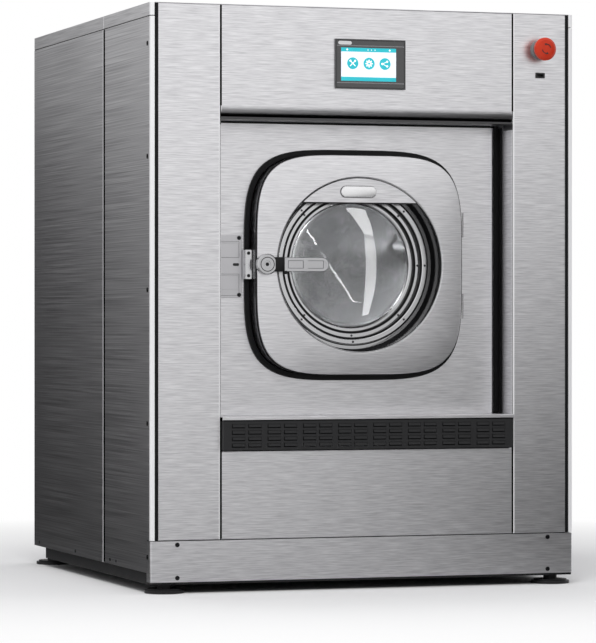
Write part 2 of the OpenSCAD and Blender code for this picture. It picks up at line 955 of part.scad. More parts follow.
module service_socket() {
  hole = [18, 7];
  color("black") placed()
    difference() {
      union() {
        block([stop_x - 13.3, stop_x + 13.3], [-2, 0], [socket_z - 6.8, socket_z + 6.8]);
        block([stop_x - 12 + seat, stop_x + 12 - seat], [-past, 22], [socket_z - 6 + seat, socket_z + 6 - seat]);
      }
      block([stop_x - hole[0] / 2, stop_x + hole[0] / 2], [-3, 14], [socket_z - hole[1] / 2, socket_z + hole[1] / 2]);
    }
}

module control_box() {
  wall = 2;
  drive_in = 60;
  x = span(-control_shift, control_w / 2);
  y = [cabinet_d - control_d, cabinet_d - sheet];
  z = [cabinet_h - control_drop - control_h, cabinet_h - control_drop];
  color("lightgray") placed() {
    difference() {
      block(x, y, z);
      block([x[0] + wall, x[1] - wall], [y[0] + wall, y[1] + past], [z[0] + wall, z[1] - wall]);
    }
    block(
      [x[0] + drive_in, x[0] + drive_in + drive_w],
      [y[0] + wall - 0.5, y[0] + wall + drive_d],
      span((z[0] + z[1]) / 2, drive_h / 2)
    );
  }
}

module inlet_valves() {
  tip = cabinet_d + rear_proud;
  color("white") placed()
    for (x = inlet_xs) {
      difference() {
        union() {
          bar(x, inlet_z, inlet_r, [cabinet_d - inlet_l, tip]);
          bar(x, inlet_z, inlet_r + 6, [cabinet_d, cabinet_d + 5]);
          block([x - 22, x + 22], [cabinet_d - inlet_l - 30, cabinet_d - sheet], [inlet_z - 24, inlet_z + 24]);
          translate([x, cabinet_d - inlet_l, inlet_z])
            cylinder(r = 16, h = 66);
        }
        bar(x, inlet_z, inlet_r - 4, [cabinet_d - inlet_l + 10, tip + past]);
      }
    }
}

valve_y = 520;
valve_top = 250;
spigot_z = 330;
bellows_r = 46;

module drain_valve() {
  tip = cabinet_d + rear_proud;
  color("gray") placed()
    difference() {
      union() {
        translate([axis_x, valve_y, rail_top + seat + 8])
          cylinder(r = 55, h = valve_top - rail_top - seat - 8);
        translate([axis_x, valve_y, valve_top - 6])
          cylinder(r = bellows_r + 16, h = 6);
        bar(axis_x, drain_z, drain_r, [valve_y, tip]);
        bar(axis_x, drain_z, drain_r + 8, [cabinet_d - sheet - 5, cabinet_d - sheet]);
        block([axis_x - 30, axis_x + 30], [spring_front_y + 60, valve_y - 40], [drain_z - 40, drain_z + 40]);
        block([axis_x - 30, axis_x + 30], [spring_rear_y - 40, spring_rear_y + 40], [rail_top, drain_z - drain_r + 1]);
      }
      bar(axis_x, drain_z, drain_r - 3, [valve_y, tip + past]);
      translate([axis_x, valve_y, drain_z])
        cylinder(r = drain_r, h = valve_top);
    }
}

module drain_bellows() {
  low = valve_top + seat;
  high = spigot_z - seat;
  folds = 4;
  step = (high - low) / folds;
  wall = 3;
  outer = [for (i = [0 : folds - 1]) each [[bellows_r, low + i * step], [bellows_r + 9, low + (i + 0.5) * step]]];
  inner = [for (i = [folds - 1 : -1 : 0]) each [[bellows_r + 9 - wall, low + (i + 0.5) * step], [bellows_r - wall, low + i * step]]];
  color("black") placed()
    translate([axis_x, valve_y, 0])
      rotate_extrude()
        polygon(concat(outer, [[bellows_r, high], [bellows_r - wall, high]], inner));
}

boot_back = tub_front_y - 0.5;

module door_boot() {
  front = bulkhead_y + bulkhead_t + seat;
  hole = bulkhead_hole_r;
  color("black") placed()
    turned(axis_x, axis_z, [
      [hole - 12, front], [hole + 26, front], [hole + 26, front + 5], [hole + 4, front + 5],
      [hole + 4, front + 24], [hole - 6, front + 32], [hole - 6, boot_back - 6], [hole + 8, boot_back - 6],
      [hole + 8, boot_back], [tub_mouth_r - 12, boot_back], [tub_mouth_r - 12, boot_back - 6],
      [hole - 12, boot_back - 8], [hole - 12, front + 30], [hole - 2, front + 22],
      [hole - 2, front + 5], [hole - 12, front + 5]
    ]);
}

module lock_cover() {
  mid = axis_z - 5;
  x = cover_plate_x;
  color("silver") placed()
    difference() {
      block(x, [recess_d - sheet, recess_d], [mid - cover_plate_h / 2, mid + cover_plate_h / 2]);
      for (z = [[mid + 24, mid + 62], [mid - 62, mid - 24]])
        block([x[0] - past, x[1] - 10], [recess_d - sheet - past, recess_d - sheet + 0.6], z);
      block([x[1] - 22, x[1] - 10], [recess_d - sheet - past, recess_d + past], [axis_z - 3.5, axis_z + 1.5]);
    }
}

bolt_z = axis_z - 1;
strike_h = 78;

module strike_plate() {
  face = hinge_y - 12;
  z = [axis_z - strike_h / 2, axis_z + strike_h / 2];
  color("silver") placed()
    difference() {
      union() {
        block(strike_x, [face, face + sheet], z);
        block([strike_x[0], strike_x[0] + 3], [face, recess_d], z);
      }
      block([strike_x[1] - 9, strike_x[1] - 6], [face - past, face + sheet + past], [axis_z - 12, axis_z + 12]);
    }
}

module knuckle(z0, z1, bore) {
  translate([hinge_x, hinge_y, z0])
    difference() {
      cylinder(r = knuckle_r, h = z1 - z0);
      translate([0, 0, -past])
        cylinder(r = bore, h = z1 - z0 + 2 * past);
    }
}

module hinge_brackets() {
  step = knuckle_h + seat;
  color("gray") placed()
    for (side = [-1, 1], end = [-1, 1]) {
      z = axis_z + side * hinge_rise + end * step - knuckle_h / 2;
      knuckle(z, z + knuckle_h, hinge_pin_r);
      difference() {
        block([hinge_x - knuckle_r, hinge_x + knuckle_r - 3], [hinge_y, bulkhead_y], [z, z + knuckle_h]);
        translate([hinge_x, hinge_y, z - past])
          cylinder(r = knuckle_r - 1, h = knuckle_h + 2 * past);
      }
    }
}

module hinge_pins() {
  long = 3 * knuckle_h + 2 * seat;
  color("silver") placed()
    for (side = [-1, 1])
      translate([hinge_x, hinge_y, axis_z + side * hinge_rise - long / 2])
        cylinder(r = hinge_pin_r, h = long);
}

module hinge_leaves() {
  color("gray") placed()
    for (side = [-1, 1]) {
      z = axis_z + side * hinge_rise - knuckle_h / 2;
      knuckle(z, z + knuckle_h, hinge_pin_r + running_gap);
      difference() {
        block([hinge_x - hinge_gap - 24, hinge_x - 2], [hinge_y - 5, hinge_y + 4], [z, z + knuckle_h]);
        translate([hinge_x, hinge_y, z - past])
          cylinder(r = knuckle_r - 1, h = knuckle_h + 2 * past);
      }
    }
}

damper_r = 20;
rod_r = 8;
saddle_h = 24;

module damper_cylinders() {
  color("dimgray") placed()
    for (y = spring_ys, side = [-1, 1])
      translate([axis_x + side * damper_dx, y, rail_top])
        difference() {
          cylinder(r = damper_r, h = damper_l);
          translate([0, 0, 10])
            cylinder(r = rod_r + running_gap * 2, h = damper_l);
        }
}

module damper_rods() {
  color("silver") placed()
    for (y = spring_ys, side = [-1, 1])
      translate([axis_x + side * damper_dx, y, rail_top + 10 + tub_float + 10])
        cylinder(r = rod_r, h = bracket_z - rail_top - 20 - tub_float);
}

module suspension_springs() {
  low = rail_top + 2 + seat;
  color("darkred") placed()
    for (y = spring_ys, side = [-1, 1])
      translate([axis_x + side * spring_dx, y, low])
        coil(bracket_z - low - seat, coil_r, wire_r, coil_turns);
}

module tub_shell() {
  y = [tub_front_y + tub_plate, tub_back_y];
  color("lightgray") placed()
    difference() {
      tube(axis_x, axis_z, tub_r, tub_r - tub_t, y);
      translate([axis_x, valve_y, spigot_z])
        cylinder(r = bellows_r - 6, h = axis_z - spigot_z - tub_r + 4 * tub_t);
    }
}

module tub_front() {
  y = tub_front_y;
  color("lightgray") placed()
    turned(axis_x, axis_z, [
      [tub_mouth_r, y], [tub_r + 8, y], [tub_r + 8, y + tub_plate], [tub_mouth_r + 5, y + tub_plate],
      [tub_mouth_r + 5, y + tub_plate + 8], [tub_mouth_r, y + tub_plate + 8]
    ]);
}

module tub_back() {
  y = [tub_back_y, tub_back_y + tub_plate];
  color("lightgray") placed() {
    tube(axis_x, axis_z, tub_r + 8, housing_r + seat, y);
    for (a = [22.5 : 45 : 359])
      translate([axis_x, 0, axis_z])
        rotate([0, a, 0])
          block([flange_r + 6, tub_r - 12], [y[1] + weld, y[1] + rib_d], [-5, 5]);
  }
}

module tub_brackets() {
  inner = damper_dx - 32;
  outer = spring_dx + coil_r + wire_r + 14;
  shelf = bracket_z + saddle_h;
  color("dimgray") placed() {
    difference() {
      for (y = spring_ys, side = [-1, 1]) {
        x = side > 0 ? [axis_x + inner, axis_x + outer] : [axis_x - outer, axis_x - inner];
        block(x, span(y, 55), [bracket_z, shelf]);
        for (rib = [-50, 42])
          block(x, [y + rib, y + rib + 8], [shelf + weld, axis_z - 140]);
      }
      bar(axis_x, axis_z, tub_r + seat, [0, cabinet_d]);
    }
    translate([axis_x, valve_y, spigot_z])
      difference() {
        cylinder(r = bellows_r + 6, h = 60);
        translate([0, 0, -past])
          cylinder(r = bellows_r - 6, h = 70);
        translate([0, 0, axis_z - spigot_z])
          rotate([90, 0, 0])
            cylinder(r = tub_r + seat, h = 8 * bellows_r, center = true);
      }
  }
}

housing_end = tub_back_y + housing_l;
bearing_r = 70;
bearing_w = 30;

module bearing_housing() {
  y = tub_back_y;
  color("darkslategray") placed()
    turned(axis_x, axis_z, [
      [bearing_r - 16, y - 4], [housing_r, y - 4], [housing_r, y + tub_plate + seat], [flange_r, y + tub_plate + seat],
      [flange_r, y + flange_t], [housing_r + 4, y + flange_t + 8], [housing_r, housing_end], [bearing_r, housing_end],
      [bearing_r, housing_end - bearing_w - 4], [bearing_r - 16, housing_end - bearing_w - 4],
      [bearing_r - 16, y + 24 + bearing_w], [bearing_r, y + 24 + bearing_w], [bearing_r, y + 24],
      [bearing_r, y + 10], [bearing_r - 16, y + 10]
    ]);
}

module drum_bearings() {
  fronts = [tub_back_y + 24, housing_end - bearing_w - 4];
  color("gainsboro") placed()
    for (y = fronts)
      tube(axis_x, axis_z, bearing_r - 0.02, shaft_r + running_gap, [y + seat, y + bearing_w - seat]);
}

pulley_y = housing_end + 32;
motor_x = axis_x + motor_dx;
motor_z = axis_z - motor_dz;
motor_shaft_r = 19;

module motor() {
  back = pulley_y - 10;
  front = back - motor_l;
  plate_z = motor_z + motor_r + 8;
  color("steelblue") placed()
    difference() {
      union() {
        bar(motor_x, motor_z, motor_r, [front + 25, back - 25]);
        bar(motor_x, motor_z, motor_r - 12, [front, back]);
        for (a = [-150 : 20 : 150])
          translate([motor_x, 0, motor_z])
            rotate([0, a, 0])
              block([-2, 2], [front + 30, back - 30], [-motor_r - 7, -motor_r + 2]);
        block([motor_x - 60, motor_x + 60], [front + 10, back - 10], [motor_z + motor_r - 12, plate_z]);
        block([motor_x - 60, motor_x + 60], [front + 10, front + 20], [plate_z - 1, axis_z - 330]);
      }
      bar(motor_x, motor_z, motor_shaft_r + running_gap, [back - 60, back + past]);
      bar(axis_x, axis_z, tub_r + 8 + seat, [0, tub_back_y + tub_plate]);
    }
}

belt_pitch = pulley_w / (belts_n + 0.6);
function belt_y(i) = pulley_y + pulley_w / 2 + (i - (belts_n - 1) / 2) * belt_pitch;

// The outline of a grooved rim from the rear face to the front one, as radius and depth
function grooved(r) = [
  for (i = [belts_n - 1 : -1 : 0])
    each [
      [r, belt_y(i) + belt_w / 2 + 1.2], [r - belt_t, belt_y(i) + belt_w / 2 + seat],
      [r - belt_t, belt_y(i) - belt_w / 2 - seat], [r, belt_y(i) - belt_w / 2 - 1.2]
    ]
];

module drum_pulley() {
  y = [pulley_y, pulley_y + pulley_w];
  web = pulley_y + pulley_w / 2;
  color("darkgray") placed()
    difference() {
      turned(axis_x, axis_z, concat(
        [
          [shaft_r, y[0]], [66, y[0]], [66, web - 7], [drum_pulley_r - 34, web - 7],
          [drum_pulley_r - 24, y[0]], [drum_pulley_r, y[0]]
        ],
        [for (i = [len(grooved(1)) - 1 : -1 : 0]) grooved(drum_pulley_r)[i]],
        [
          [drum_pulley_r, y[1]], [drum_pulley_r - 24, y[1]], [drum_pulley_r - 34, web + 7],
          [66, web + 7], [66, y[1]], [shaft_r, y[1]]
        ]
      ));
      for (a = [0 : 60 : 359])
        translate([axis_x, 0, axis_z])
          rotate([0, a, 0])
            bar(0, 158, 46, [y[0], y[1]]);
    }
}

module motor_pulley() {
  y = [pulley_y, pulley_y + pulley_w];
  r = motor_pulley_r;
  color("darkgray") placed() {
    turned(motor_x, motor_z, concat(
      [[0, y[0] - 50], [motor_shaft_r, y[0] - 50], [motor_shaft_r, y[0]], [r, y[0]]],
      [for (i = [len(grooved(1)) - 1 : -1 : 0]) grooved(r)[i]],
      [[r, y[1]], [motor_shaft_r + 6, y[1]], [motor_shaft_r + 6, y[1] - 8], [0, y[1] - 8]]
    ));
  }
}

// The flat outline round both pulleys at a distance grow from their groove bottoms
module belt_outline(grow) {
  big = drum_pulley_r - belt_t + grow;
  small = motor_pulley_r - belt_t + grow;
  far = sqrt(pow(motor_dx, 2) + pow(motor_dz, 2));
  lean = atan2(motor_dx, motor_dz);
  tilt = asin((big - small) / far);
  translate([axis_x, axis_z])
    rotate(lean) {
      circle(big, $fn = 96);
      translate([0, -far])
        circle(small);
      polygon([
        [-big * cos(tilt), -big * sin(tilt)], [big * cos(tilt), -big * sin(tilt)],
        [small * cos(tilt), -far - small * sin(tilt)], [-small * cos(tilt), -far - small * sin(tilt)]
      ]);
    }
}

module drive_belts() {
  color("black") placed()
    for (i = [0 : belts_n - 1])
      plate([belt_y(i) - belt_w / 2, belt_y(i) + belt_w / 2])
        difference() {
          belt_outline(belt_t);
          belt_outline(seat);
        }
}

perforation_r = 5;
perforation_rows = 5;

module drum_shell() {
  r = drum_r;
  lip = 6;
  color("silver") placed()
    difference() {
      turned(axis_x, axis_z, [
        [drum_mouth_r, drum_front_y], [drum_mouth_r + 10, drum_front_y], [drum_mouth_r + 12, drum_front_y + lip],
        [r - 14, drum_front_y + lip], [r, drum_front_y + lip + 14], [r, drum_back_y],
        [shaft_r + 10, drum_back_y], [shaft_r + 10, drum_back_y - drum_t], [r - drum_t, drum_back_y - drum_t],
        [r - drum_t, drum_front_y + lip + 15], [r - 15, drum_front_y + lip + drum_t],
        [drum_mouth_r + 6, drum_front_y + lip + drum_t], [drum_mouth_r, drum_front_y + lip + drum_t + 4]
      ]);
      for (row = [0 : perforation_rows - 1], i = [0 : 3 * 4 - 1])
        translate([axis_x, drum_front_y + drum_l * (row + 1) / (perforation_rows + 1), axis_z])
          rotate([0, 30 * i + 15, 0])
            translate([0, 0, r - 20])
              cylinder(r = perforation_r, h = 30);
    }
}

lifter_w = 130;
lifter_turn = 20;

// The outline of a lifter across the drum, drawn at the drum's bottom and shrunk by inset
module lifter_outline(inset) {
  floor_z = drum_r - drum_t;
  tip_r = 22 - inset;
  tip_z = lifter_h - 22 - floor_z;
  polygon([
    [inset - lifter_w / 2, -floor_z], [lifter_w / 2 - inset, -floor_z],
    [tip_r, tip_z], [-tip_r, tip_z]
  ]);
  translate([0, tip_z])
    circle(tip_r);
}

module lifters() {
  y = [drum_front_y + 40, drum_back_y - 34];
  color("silver") placed()
    intersection() {
      for (i = [0 : lifters_n - 1])
        translate([axis_x, 0, axis_z])
          rotate([0, lifter_turn + 360 * i / lifters_n, 0])
            difference() {
              plate(y)
                lifter_outline(0);
              plate([y[0] + drum_t, y[1] - drum_t])
                lifter_outline(drum_t);
            }
      bar(axis_x, axis_z, drum_r - drum_t - 0.05, [0, cabinet_d]);
    }
}

module drum_spider() {
  y = drum_back_y;
  color("darkgray") placed() {
    turned(axis_x, axis_z, [
      [0, y - 14], [shaft_r + 6, y - 14], [shaft_r + 6, y + seat], [130, y + seat], [130, y + 8], [62, y + 20],
      [shaft_r, y + 20], [shaft_r, pulley_y + pulley_w], [0, pulley_y + pulley_w]
    ]);
    for (a = [60 : 120 : 359])
      translate([axis_x, 0, axis_z])
        rotate([0, a, 0])
          block([-26, 26], [y + seat, y + 17], [110, drum_r - 12]);
  }
}

module door_outline(grow = 0) {
  translate([axis_x, axis_z])
    polygon(squircle(door_w + 2 * grow, door_h + 2 * grow, door_round));
}

bolt_y = [hinge_y - 8, hinge_y];
bolt_h = [bolt_z - 19, bolt_z + 11];
tip_h = [bolt_z - 9, bolt_z + 7];

module door_shell_panel() {
  y = [door_face_y, door_back_y];
  color("silver") placed()
    difference() {
      plate(y)
        door_outline();
      plate([y[0] + sheet, y[1] + past])
        door_outline(-sheet);
      bar(axis_x, axis_z, porthole_r, [y[0] - past, y[0] + sheet + past]);
      bar(handle_axis_x, axis_z, 6.5, [y[0] - past, y[0] + sheet + past]);
      block([axis_x - door_w / 2 - 5, axis_x - door_w / 2 + 8], bolt_y + [-0.5, 0.5], tip_h + [-0.5, 0.5]);
      for (side = [-1, 1])
        block(
          [axis_x + door_w / 2 - 8, axis_x + door_w / 2 + 5],
          [hinge_y - 5 - seat, hinge_y + 4 + seat],
          span(axis_z + side * hinge_rise, knuckle_h / 2 + seat)
        );
    }
}

well_t = 2;
rim_l = 20;
well_r = porthole_r - seat;

module door_liner() {
  front = door_face_y + sheet + seat;
  back = step_two_y + rim_l;
  color("gray") placed() {
    plate([door_back_y - sheet, door_back_y])
      difference() {
        door_outline(-sheet - seat);
        translate([axis_x, axis_z])
          circle(well_r + weld);
      }
    tube(axis_x, axis_z, well_r, well_r - well_t, [front, step_one_y - weld]);
    turned(axis_x, axis_z, [
      [step_one_r - well_t, step_one_y], [well_r, step_one_y], [well_r, step_one_y + well_t],
      [step_one_r, step_one_y + well_t], [step_one_r, step_two_y - weld], [step_one_r - well_t, step_two_y - weld]
    ]);
    turned(axis_x, axis_z, [
      [step_two_r - well_t, step_two_y], [step_one_r, step_two_y], [step_one_r, step_two_y + well_t],
      [step_two_r, step_two_y + well_t], [step_two_r, back], [step_two_r - well_t, back]
    ]);
  }
}

ring_t = 4;

// One clamping ring with its screws' countersinks
module screw_ring(r, y) {
  difference() {
    turned(axis_x, axis_z, [
      [r + seat, y - ring_t + 1.5], [r + 2, y - ring_t], [r + ring_w - 2, y - ring_t],
      [r + ring_w, y - ring_t + 2], [r + ring_w, y], [r + seat, y]
    ]);
    for (i = [0 : ring_screws - 1])
      translate([axis_x, 0, axis_z])
        rotate([0, 360 * i / ring_screws, 0])
          bar(0, r + ring_w / 2, 3, [y - ring_t - past, y - 1]);
  }
}

bezel_y = step_two_y + 2;

module door_rings() {
  color("gainsboro") placed() {
    screw_ring(step_one_r, step_one_y - seat);
    screw_ring(step_two_r + 1, step_two_y - seat);
    turned(axis_x, axis_z, [
      [glass_r - 2, bezel_y + 3], [glass_r + 1, bezel_y], [step_two_r - well_t - seat, bezel_y],
      [step_two_r - well_t - seat, bezel_y + 5], [glass_r - 2, bezel_y + 5]
    ]);
  }
}

glass_y = bezel_y + 8;
bowl_r = glass_r - 4;

module glass_seal() {
  r = step_two_r - well_t - seat;
  color("black") placed() {
    tube(axis_x, axis_z, r, glass_r, [bezel_y + 5 + seat, glass_y - seat]);
    tube(axis_x, axis_z, r, bowl_r + glass_t + seat, [glass_y + glass_t + seat, glass_y + glass_t + 3]);
  }
}

module door_glass() {
  steps = 8;
  rim = step_two_r - well_t - seat;
  front = [for (i = [0 : steps]) let (a = 90 * i / steps) [bowl_r * cos(a), glass_y + bowl_depth * sin(a)]];
  back = [for (i = [steps : -1 : 0]) let (a = 90 * i / steps)
    [(bowl_r + glass_t) * cos(a), glass_y + glass_t + bowl_depth * sin(a)]];
  color([0.7, 0.8, 0.85, 0.4]) placed()
    turned(axis_x, axis_z, concat([[rim, glass_y]], front, back, [[rim, glass_y + glass_t]]));
}

module crown_plate() {
  y = door_face_y + sheet + seat;
  badge_z = axis_z + porthole_r - badge_drop;
  color("silver") placed() {
    intersection() {
      bar(axis_x, axis_z, well_r - well_t - seat, [y, y + sheet]);
      block([-half_w, half_w], [0, 200], [axis_z + porthole_r - crown_h, cabinet_h]);
    }
    plate([y - 4, y + 0.5]) {
      translate([axis_x - 5 - badge_w / 2 + badge_h / 2, badge_z - badge_h / 2])
        square([badge_w - badge_h, badge_h]);
      for (side = [-1, 1])
        translate([axis_x - 5 + side * (badge_w - badge_h) / 2, badge_z])
          circle(d = badge_h);
    }
  }
}

case_y = [door_face_y + sheet + seat, hinge_y + 12];

module latch_case() {
  x = [axis_x - door_w / 2 + sheet + seat, axis_x - well_r - 2];
  z = [axis_z - 30, axis_z + 30];
  color("gray") placed()
    difference() {
      block(x, case_y, z);
      block([x[0] + 2, x[1] - 2], [bolt_y[0] - 12, bolt_y[1] + 0.5], [z[0] + 3, z[1] - 3]);
      bar(handle_axis_x, axis_z, 6 + running_gap, [case_y[0] - past, bolt_y[0]]);
      block([x[0] - past, x[0] + 3], bolt_y + [-0.5, 0.5], tip_h + [-0.5, 0.5]);
    }
}

crank_half = asin(bolt_travel / (2 * crank_r));
pin_dx = crank_r * sin(crank_half);
pin_dz = -crank_r * cos(crank_half);
lever_root = 6;
bolt_body = 18.5;

module handle_hub() {
  y = hub_front_y;
  color("silver") placed() {
    difference() {
      turned(handle_axis_x, axis_z, [
        [0, y + 2], [9, y + 2], [9, y], [hub_r - 3, y], [hub_r, y + 3], [hub_r, door_face_y - handle_gap],
        [6, door_face_y - handle_gap], [6, bolt_y[0] - 8], [0, bolt_y[0] - 8]
      ]);
      bar(handle_axis_x, axis_z, 4.5, [y - past, y + 8], $fn = 6);
      block(
        [handle_axis_x + hub_r - lever_root, handle_axis_x + hub_r + past],
        [y + past, door_face_y],
        [axis_z - lever_w / 2 - seat, axis_z + lever_w / 2 + seat]
      );
    }
    bar(handle_axis_x, axis_z, crank_r + crank_pin_r + 1, [bolt_y[0] - 8.5, bolt_y[0] - 1]);
    bar(handle_axis_x + pin_dx, axis_z + pin_dz, crank_pin_r, [bolt_y[0] - 2, bolt_y[1] - 0.5]);
  }
}

module handle_lever() {
  y = [door_face_y - 4 - lever_t, door_face_y - 4];
  x = handle_axis_x + hub_r - lever_root;
  tip = handle_axis_x + lever_l - lever_w / 2;
  color("silver") placed()
    difference() {
      union() {
        block([x, tip], y, span(axis_z, lever_w / 2));
        bar(tip, axis_z, lever_w / 2, y);
        block([x + lever_root + seat, x + 26], y + [-1, 2], span(axis_z, lever_w / 2 - 0.5));
        bar(x + 30, axis_z - lever_w / 2 - 2, 4.5, [y[0] + 2, y[1]]);
      }
      block([x + 34, x + 80], [y[0] - past, y[0] + 1.2], span(axis_z, lever_w / 2 - 7));
      block([x + 92, tip], [y[0] - past, y[0] + 1.2], span(axis_z, lever_w / 2 - 7));
      bar(tip, axis_z, lever_w / 2 - 7, [y[0] - past, y[0] + 1.2]);
    }
}

module latch_bolt() {
  tip = axis_x - door_w / 2 + 0.5;
  slot = handle_axis_x + pin_dx;
  color("gray") placed()
    difference() {
      union() {
        block([tip, tip + 14], bolt_y, tip_h);
        block([tip + bolt_body, tip + 43], bolt_y, bolt_h);
        block([tip + 13, tip + bolt_body + 1], bolt_y, tip_h);
      }
      block(
        span(slot, crank_pin_r + 0.5),
        bolt_y + [-past, past],
        [axis_z - crank_r - crank_pin_r - 0.6, axis_z + pin_dz + crank_pin_r + 0.6]
      );
    }
}

base_frame();
levelling_feet();
upper_frame();
skirt_panel();
column_panels();
upper_front_panel();
lower_front_panel();
recess_surround();
recessed_panel();
panel_seals();
front_bulkhead();
opening_gasket();
vent_grille();
side_panels();
top_covers();
rear_panel();
cabinet_screws();
screen_bezel();
screen_glass();
stop_collar();
service_socket();
control_box();
inlet_valves();
drain_valve();
drain_bellows();
door_boot();
lock_cover();
strike_plate();
hinge_brackets();
hinge_pins();
damper_cylinders();
suspension_springs();
tub_shell();
tub_front();
tub_back();
tub_brackets();
bearing_housing();
drum_bearings();
motor();
drive_belts();
damper_rods();
drum_shell();
lifters();
drum_spider();
drum_pulley();
motor_pulley();
door_shell_panel();
door_liner();
door_rings();
door_glass();
glass_seal();
crown_plate();
hinge_leaves();
latch_case();
handle_hub();
handle_lever();
latch_bolt();
stop_stem();
stop_head();
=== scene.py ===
import math

import bmesh
import bpy
from mathutils import Matrix, Vector


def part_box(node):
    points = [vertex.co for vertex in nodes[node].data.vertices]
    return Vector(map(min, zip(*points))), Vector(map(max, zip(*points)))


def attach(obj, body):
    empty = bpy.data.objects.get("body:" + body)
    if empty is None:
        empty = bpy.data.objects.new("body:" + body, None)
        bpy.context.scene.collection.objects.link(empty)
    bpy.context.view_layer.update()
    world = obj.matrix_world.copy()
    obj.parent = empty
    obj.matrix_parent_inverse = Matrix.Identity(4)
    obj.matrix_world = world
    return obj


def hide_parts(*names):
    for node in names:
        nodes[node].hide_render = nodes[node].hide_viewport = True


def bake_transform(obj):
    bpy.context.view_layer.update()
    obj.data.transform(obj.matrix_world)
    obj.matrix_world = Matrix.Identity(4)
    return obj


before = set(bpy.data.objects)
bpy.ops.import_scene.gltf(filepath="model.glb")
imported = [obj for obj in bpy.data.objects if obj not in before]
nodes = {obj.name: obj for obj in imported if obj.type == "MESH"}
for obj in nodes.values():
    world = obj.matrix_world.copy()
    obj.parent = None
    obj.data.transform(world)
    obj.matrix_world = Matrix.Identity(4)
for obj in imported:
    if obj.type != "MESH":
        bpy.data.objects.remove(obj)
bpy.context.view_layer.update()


# Base: rails and cross-members of bent steel channel, welded into one ladder and powder coated
# black. Posts, springs and dampers all stand on it, and the upper frame is of the same stock.
class Wire:
    """A socket of a material. Sums on it add Math nodes, and node() adds any other kind."""

    def __init__(self, tree, socket=None):
        self.tree = tree
        self.socket = socket

    def node(self, kind, settings=None, sockets=None, output=0):
        made = self.tree.nodes.new("ShaderNode" + kind)
        for name, value in (settings or {}).items():
            setattr(made, name, value)
        for name, value in (sockets or {}).items():
            if isinstance(value, Wire):
                self.tree.links.new(value.socket, made.inputs[name])
            else:
                made.inputs[name].default_value = value
        return Wire(self.tree, made.outputs[output])

    def maths(self, operation, *others):
        values = dict(enumerate((self,) + others))
        return self.node("Math", {"operation": operation}, values)

    def __add__(self, other):
        return self.maths("ADD", other)

    def __radd__(self, other):
        return self.maths("ADD", other)

    def __sub__(self, other):
        return self.maths("SUBTRACT", other)

    def __rsub__(self, other):
        return self.maths("MULTIPLY", -1.0).maths("ADD", other)

    def __mul__(self, other):
        return self.maths("MULTIPLY", other)

    def __rmul__(self, other):
        return self.maths("MULTIPLY", other)

    def parts(self):
        """The wires of this vector's X, Y and Z."""
        made = self.tree.nodes.new("ShaderNodeSeparateXYZ")
        self.tree.links.new(self.socket, made.inputs[0])
        return [Wire(self.tree, socket) for socket in made.outputs]

    def joined(self, y, z):
        """A vector with this wire as its X."""
        return self.node("CombineXYZ", sockets={"X": self, "Y": y, "Z": z})

    def noise(self, scale, detail=2.0, roughness=0.5):
        return self.node("TexNoise", sockets={
            "Vector": self, "Scale": scale, "Detail": detail, "Roughness": roughness})

    def clamped(self):
        """Keeps this wire between 0 and 1."""
        return self.maths("MAXIMUM", 0.0).maths("MINIMUM", 1.0)

    def blended(self, low, high):
        """Goes from one colour or wire to another as this wire goes from 0 to 1."""
        low, high = (end if isinstance(end, Wire) else (*end, 1.0) for end in (low, high))
        return self.node("Mix", {"data_type": "RGBA"}, {0: self, 6: low, 7: high}, output=2)

    def bump(self, strength, distance):
        return self.node("Bump", sockets={
            "Strength": strength, "Distance": distance, "Height": self})


def new_material(name, **constants):
    """A material, its shader with these constant sockets, and its Object coordinates."""
    material = bpy.data.materials.new(name)
    material.use_nodes = True
    shader = material.node_tree.nodes["Principled BSDF"]
    for socket, value in constants.items():
        shader.inputs[socket.replace("_", " ")].default_value = value
    place = Wire(material.node_tree).node("TexCoord", output="Object")
    return material, shader, place


def feed(shader, **wires):
    """Links wires to the shader's sockets of these names."""
    for socket, wire in wires.items():
        wire.tree.links.new(wire.socket, shader.inputs[socket.replace("_", " ")])


def dress(material, *names):
    """Gives CAD nodes their finish."""
    for name in names:
        for slot in nodes[name].material_slots:
            slot.material = material


def coated(name, colour, roughness, grain, depth, metallic=0.0, shine=0.5):
    """Paint, rubber or moulded plastic: a fine grain, and a colour that isn't quite even."""
    material, shader, place = new_material(
        name, Metallic=metallic, Specular_IOR_Level=shine)
    cloud = place.noise(7.0, 3.0)
    fine = place.noise(grain, 2.0)
    dark = [0.82 * c for c in colour]
    light = [min(1.0, 1.18 * c) for c in colour]
    feed(
        shader,
        Base_Color=(0.6 * cloud + 0.4 * fine).blended(dark, light),
        Roughness=roughness + 0.14 * (cloud - 0.5) + 0.1 * (fine - 0.5),
        Normal=fine.bump(0.35, depth),
    )
    return material


powder_coat = coated("powder_coat", (0.010, 0.010, 0.011), 0.5, 900.0, 0.0002, shine=0.3)
dress(powder_coat, "base_frame", "upper_frame", "front_bulkhead")

# Levelling feet: round pads moulded of tough black plastic on threaded studs, locked with a nut
# against the rail. The studs screw up and down once, when the machine is set level.
pad_plastic = coated("pad_plastic", (0.010, 0.010, 0.011), 0.55, 600.0, 0.0003, shine=0.3)
dress(pad_plastic, "levelling_feet")

# Suspension: coil springs of black coated wire in cups on the base, and oil dampers beside them.
# The damper rods are ground bright and run up into the tub's brackets.
spring_coat = coated("spring_coat", (0.03, 0.03, 0.032), 0.35, 500.0, 0.0001)
dress(powder_coat, "damper_cylinders", "tub_brackets")


def placed(name, data):
    """Puts a mesh, a lamp or a camera into the scene."""
    made = bpy.data.objects.new(name, data)
    bpy.context.scene.collection.objects.link(made)
    return made


def finished(mesh, material):
    """Gives a mesh its material and shades it smooth, with edges over 35 degrees kept sharp."""
    mesh.materials.clear()
    mesh.materials.append(material)
    mesh.shade_smooth()
    mesh.set_sharp_from_angle(angle=math.radians(35))


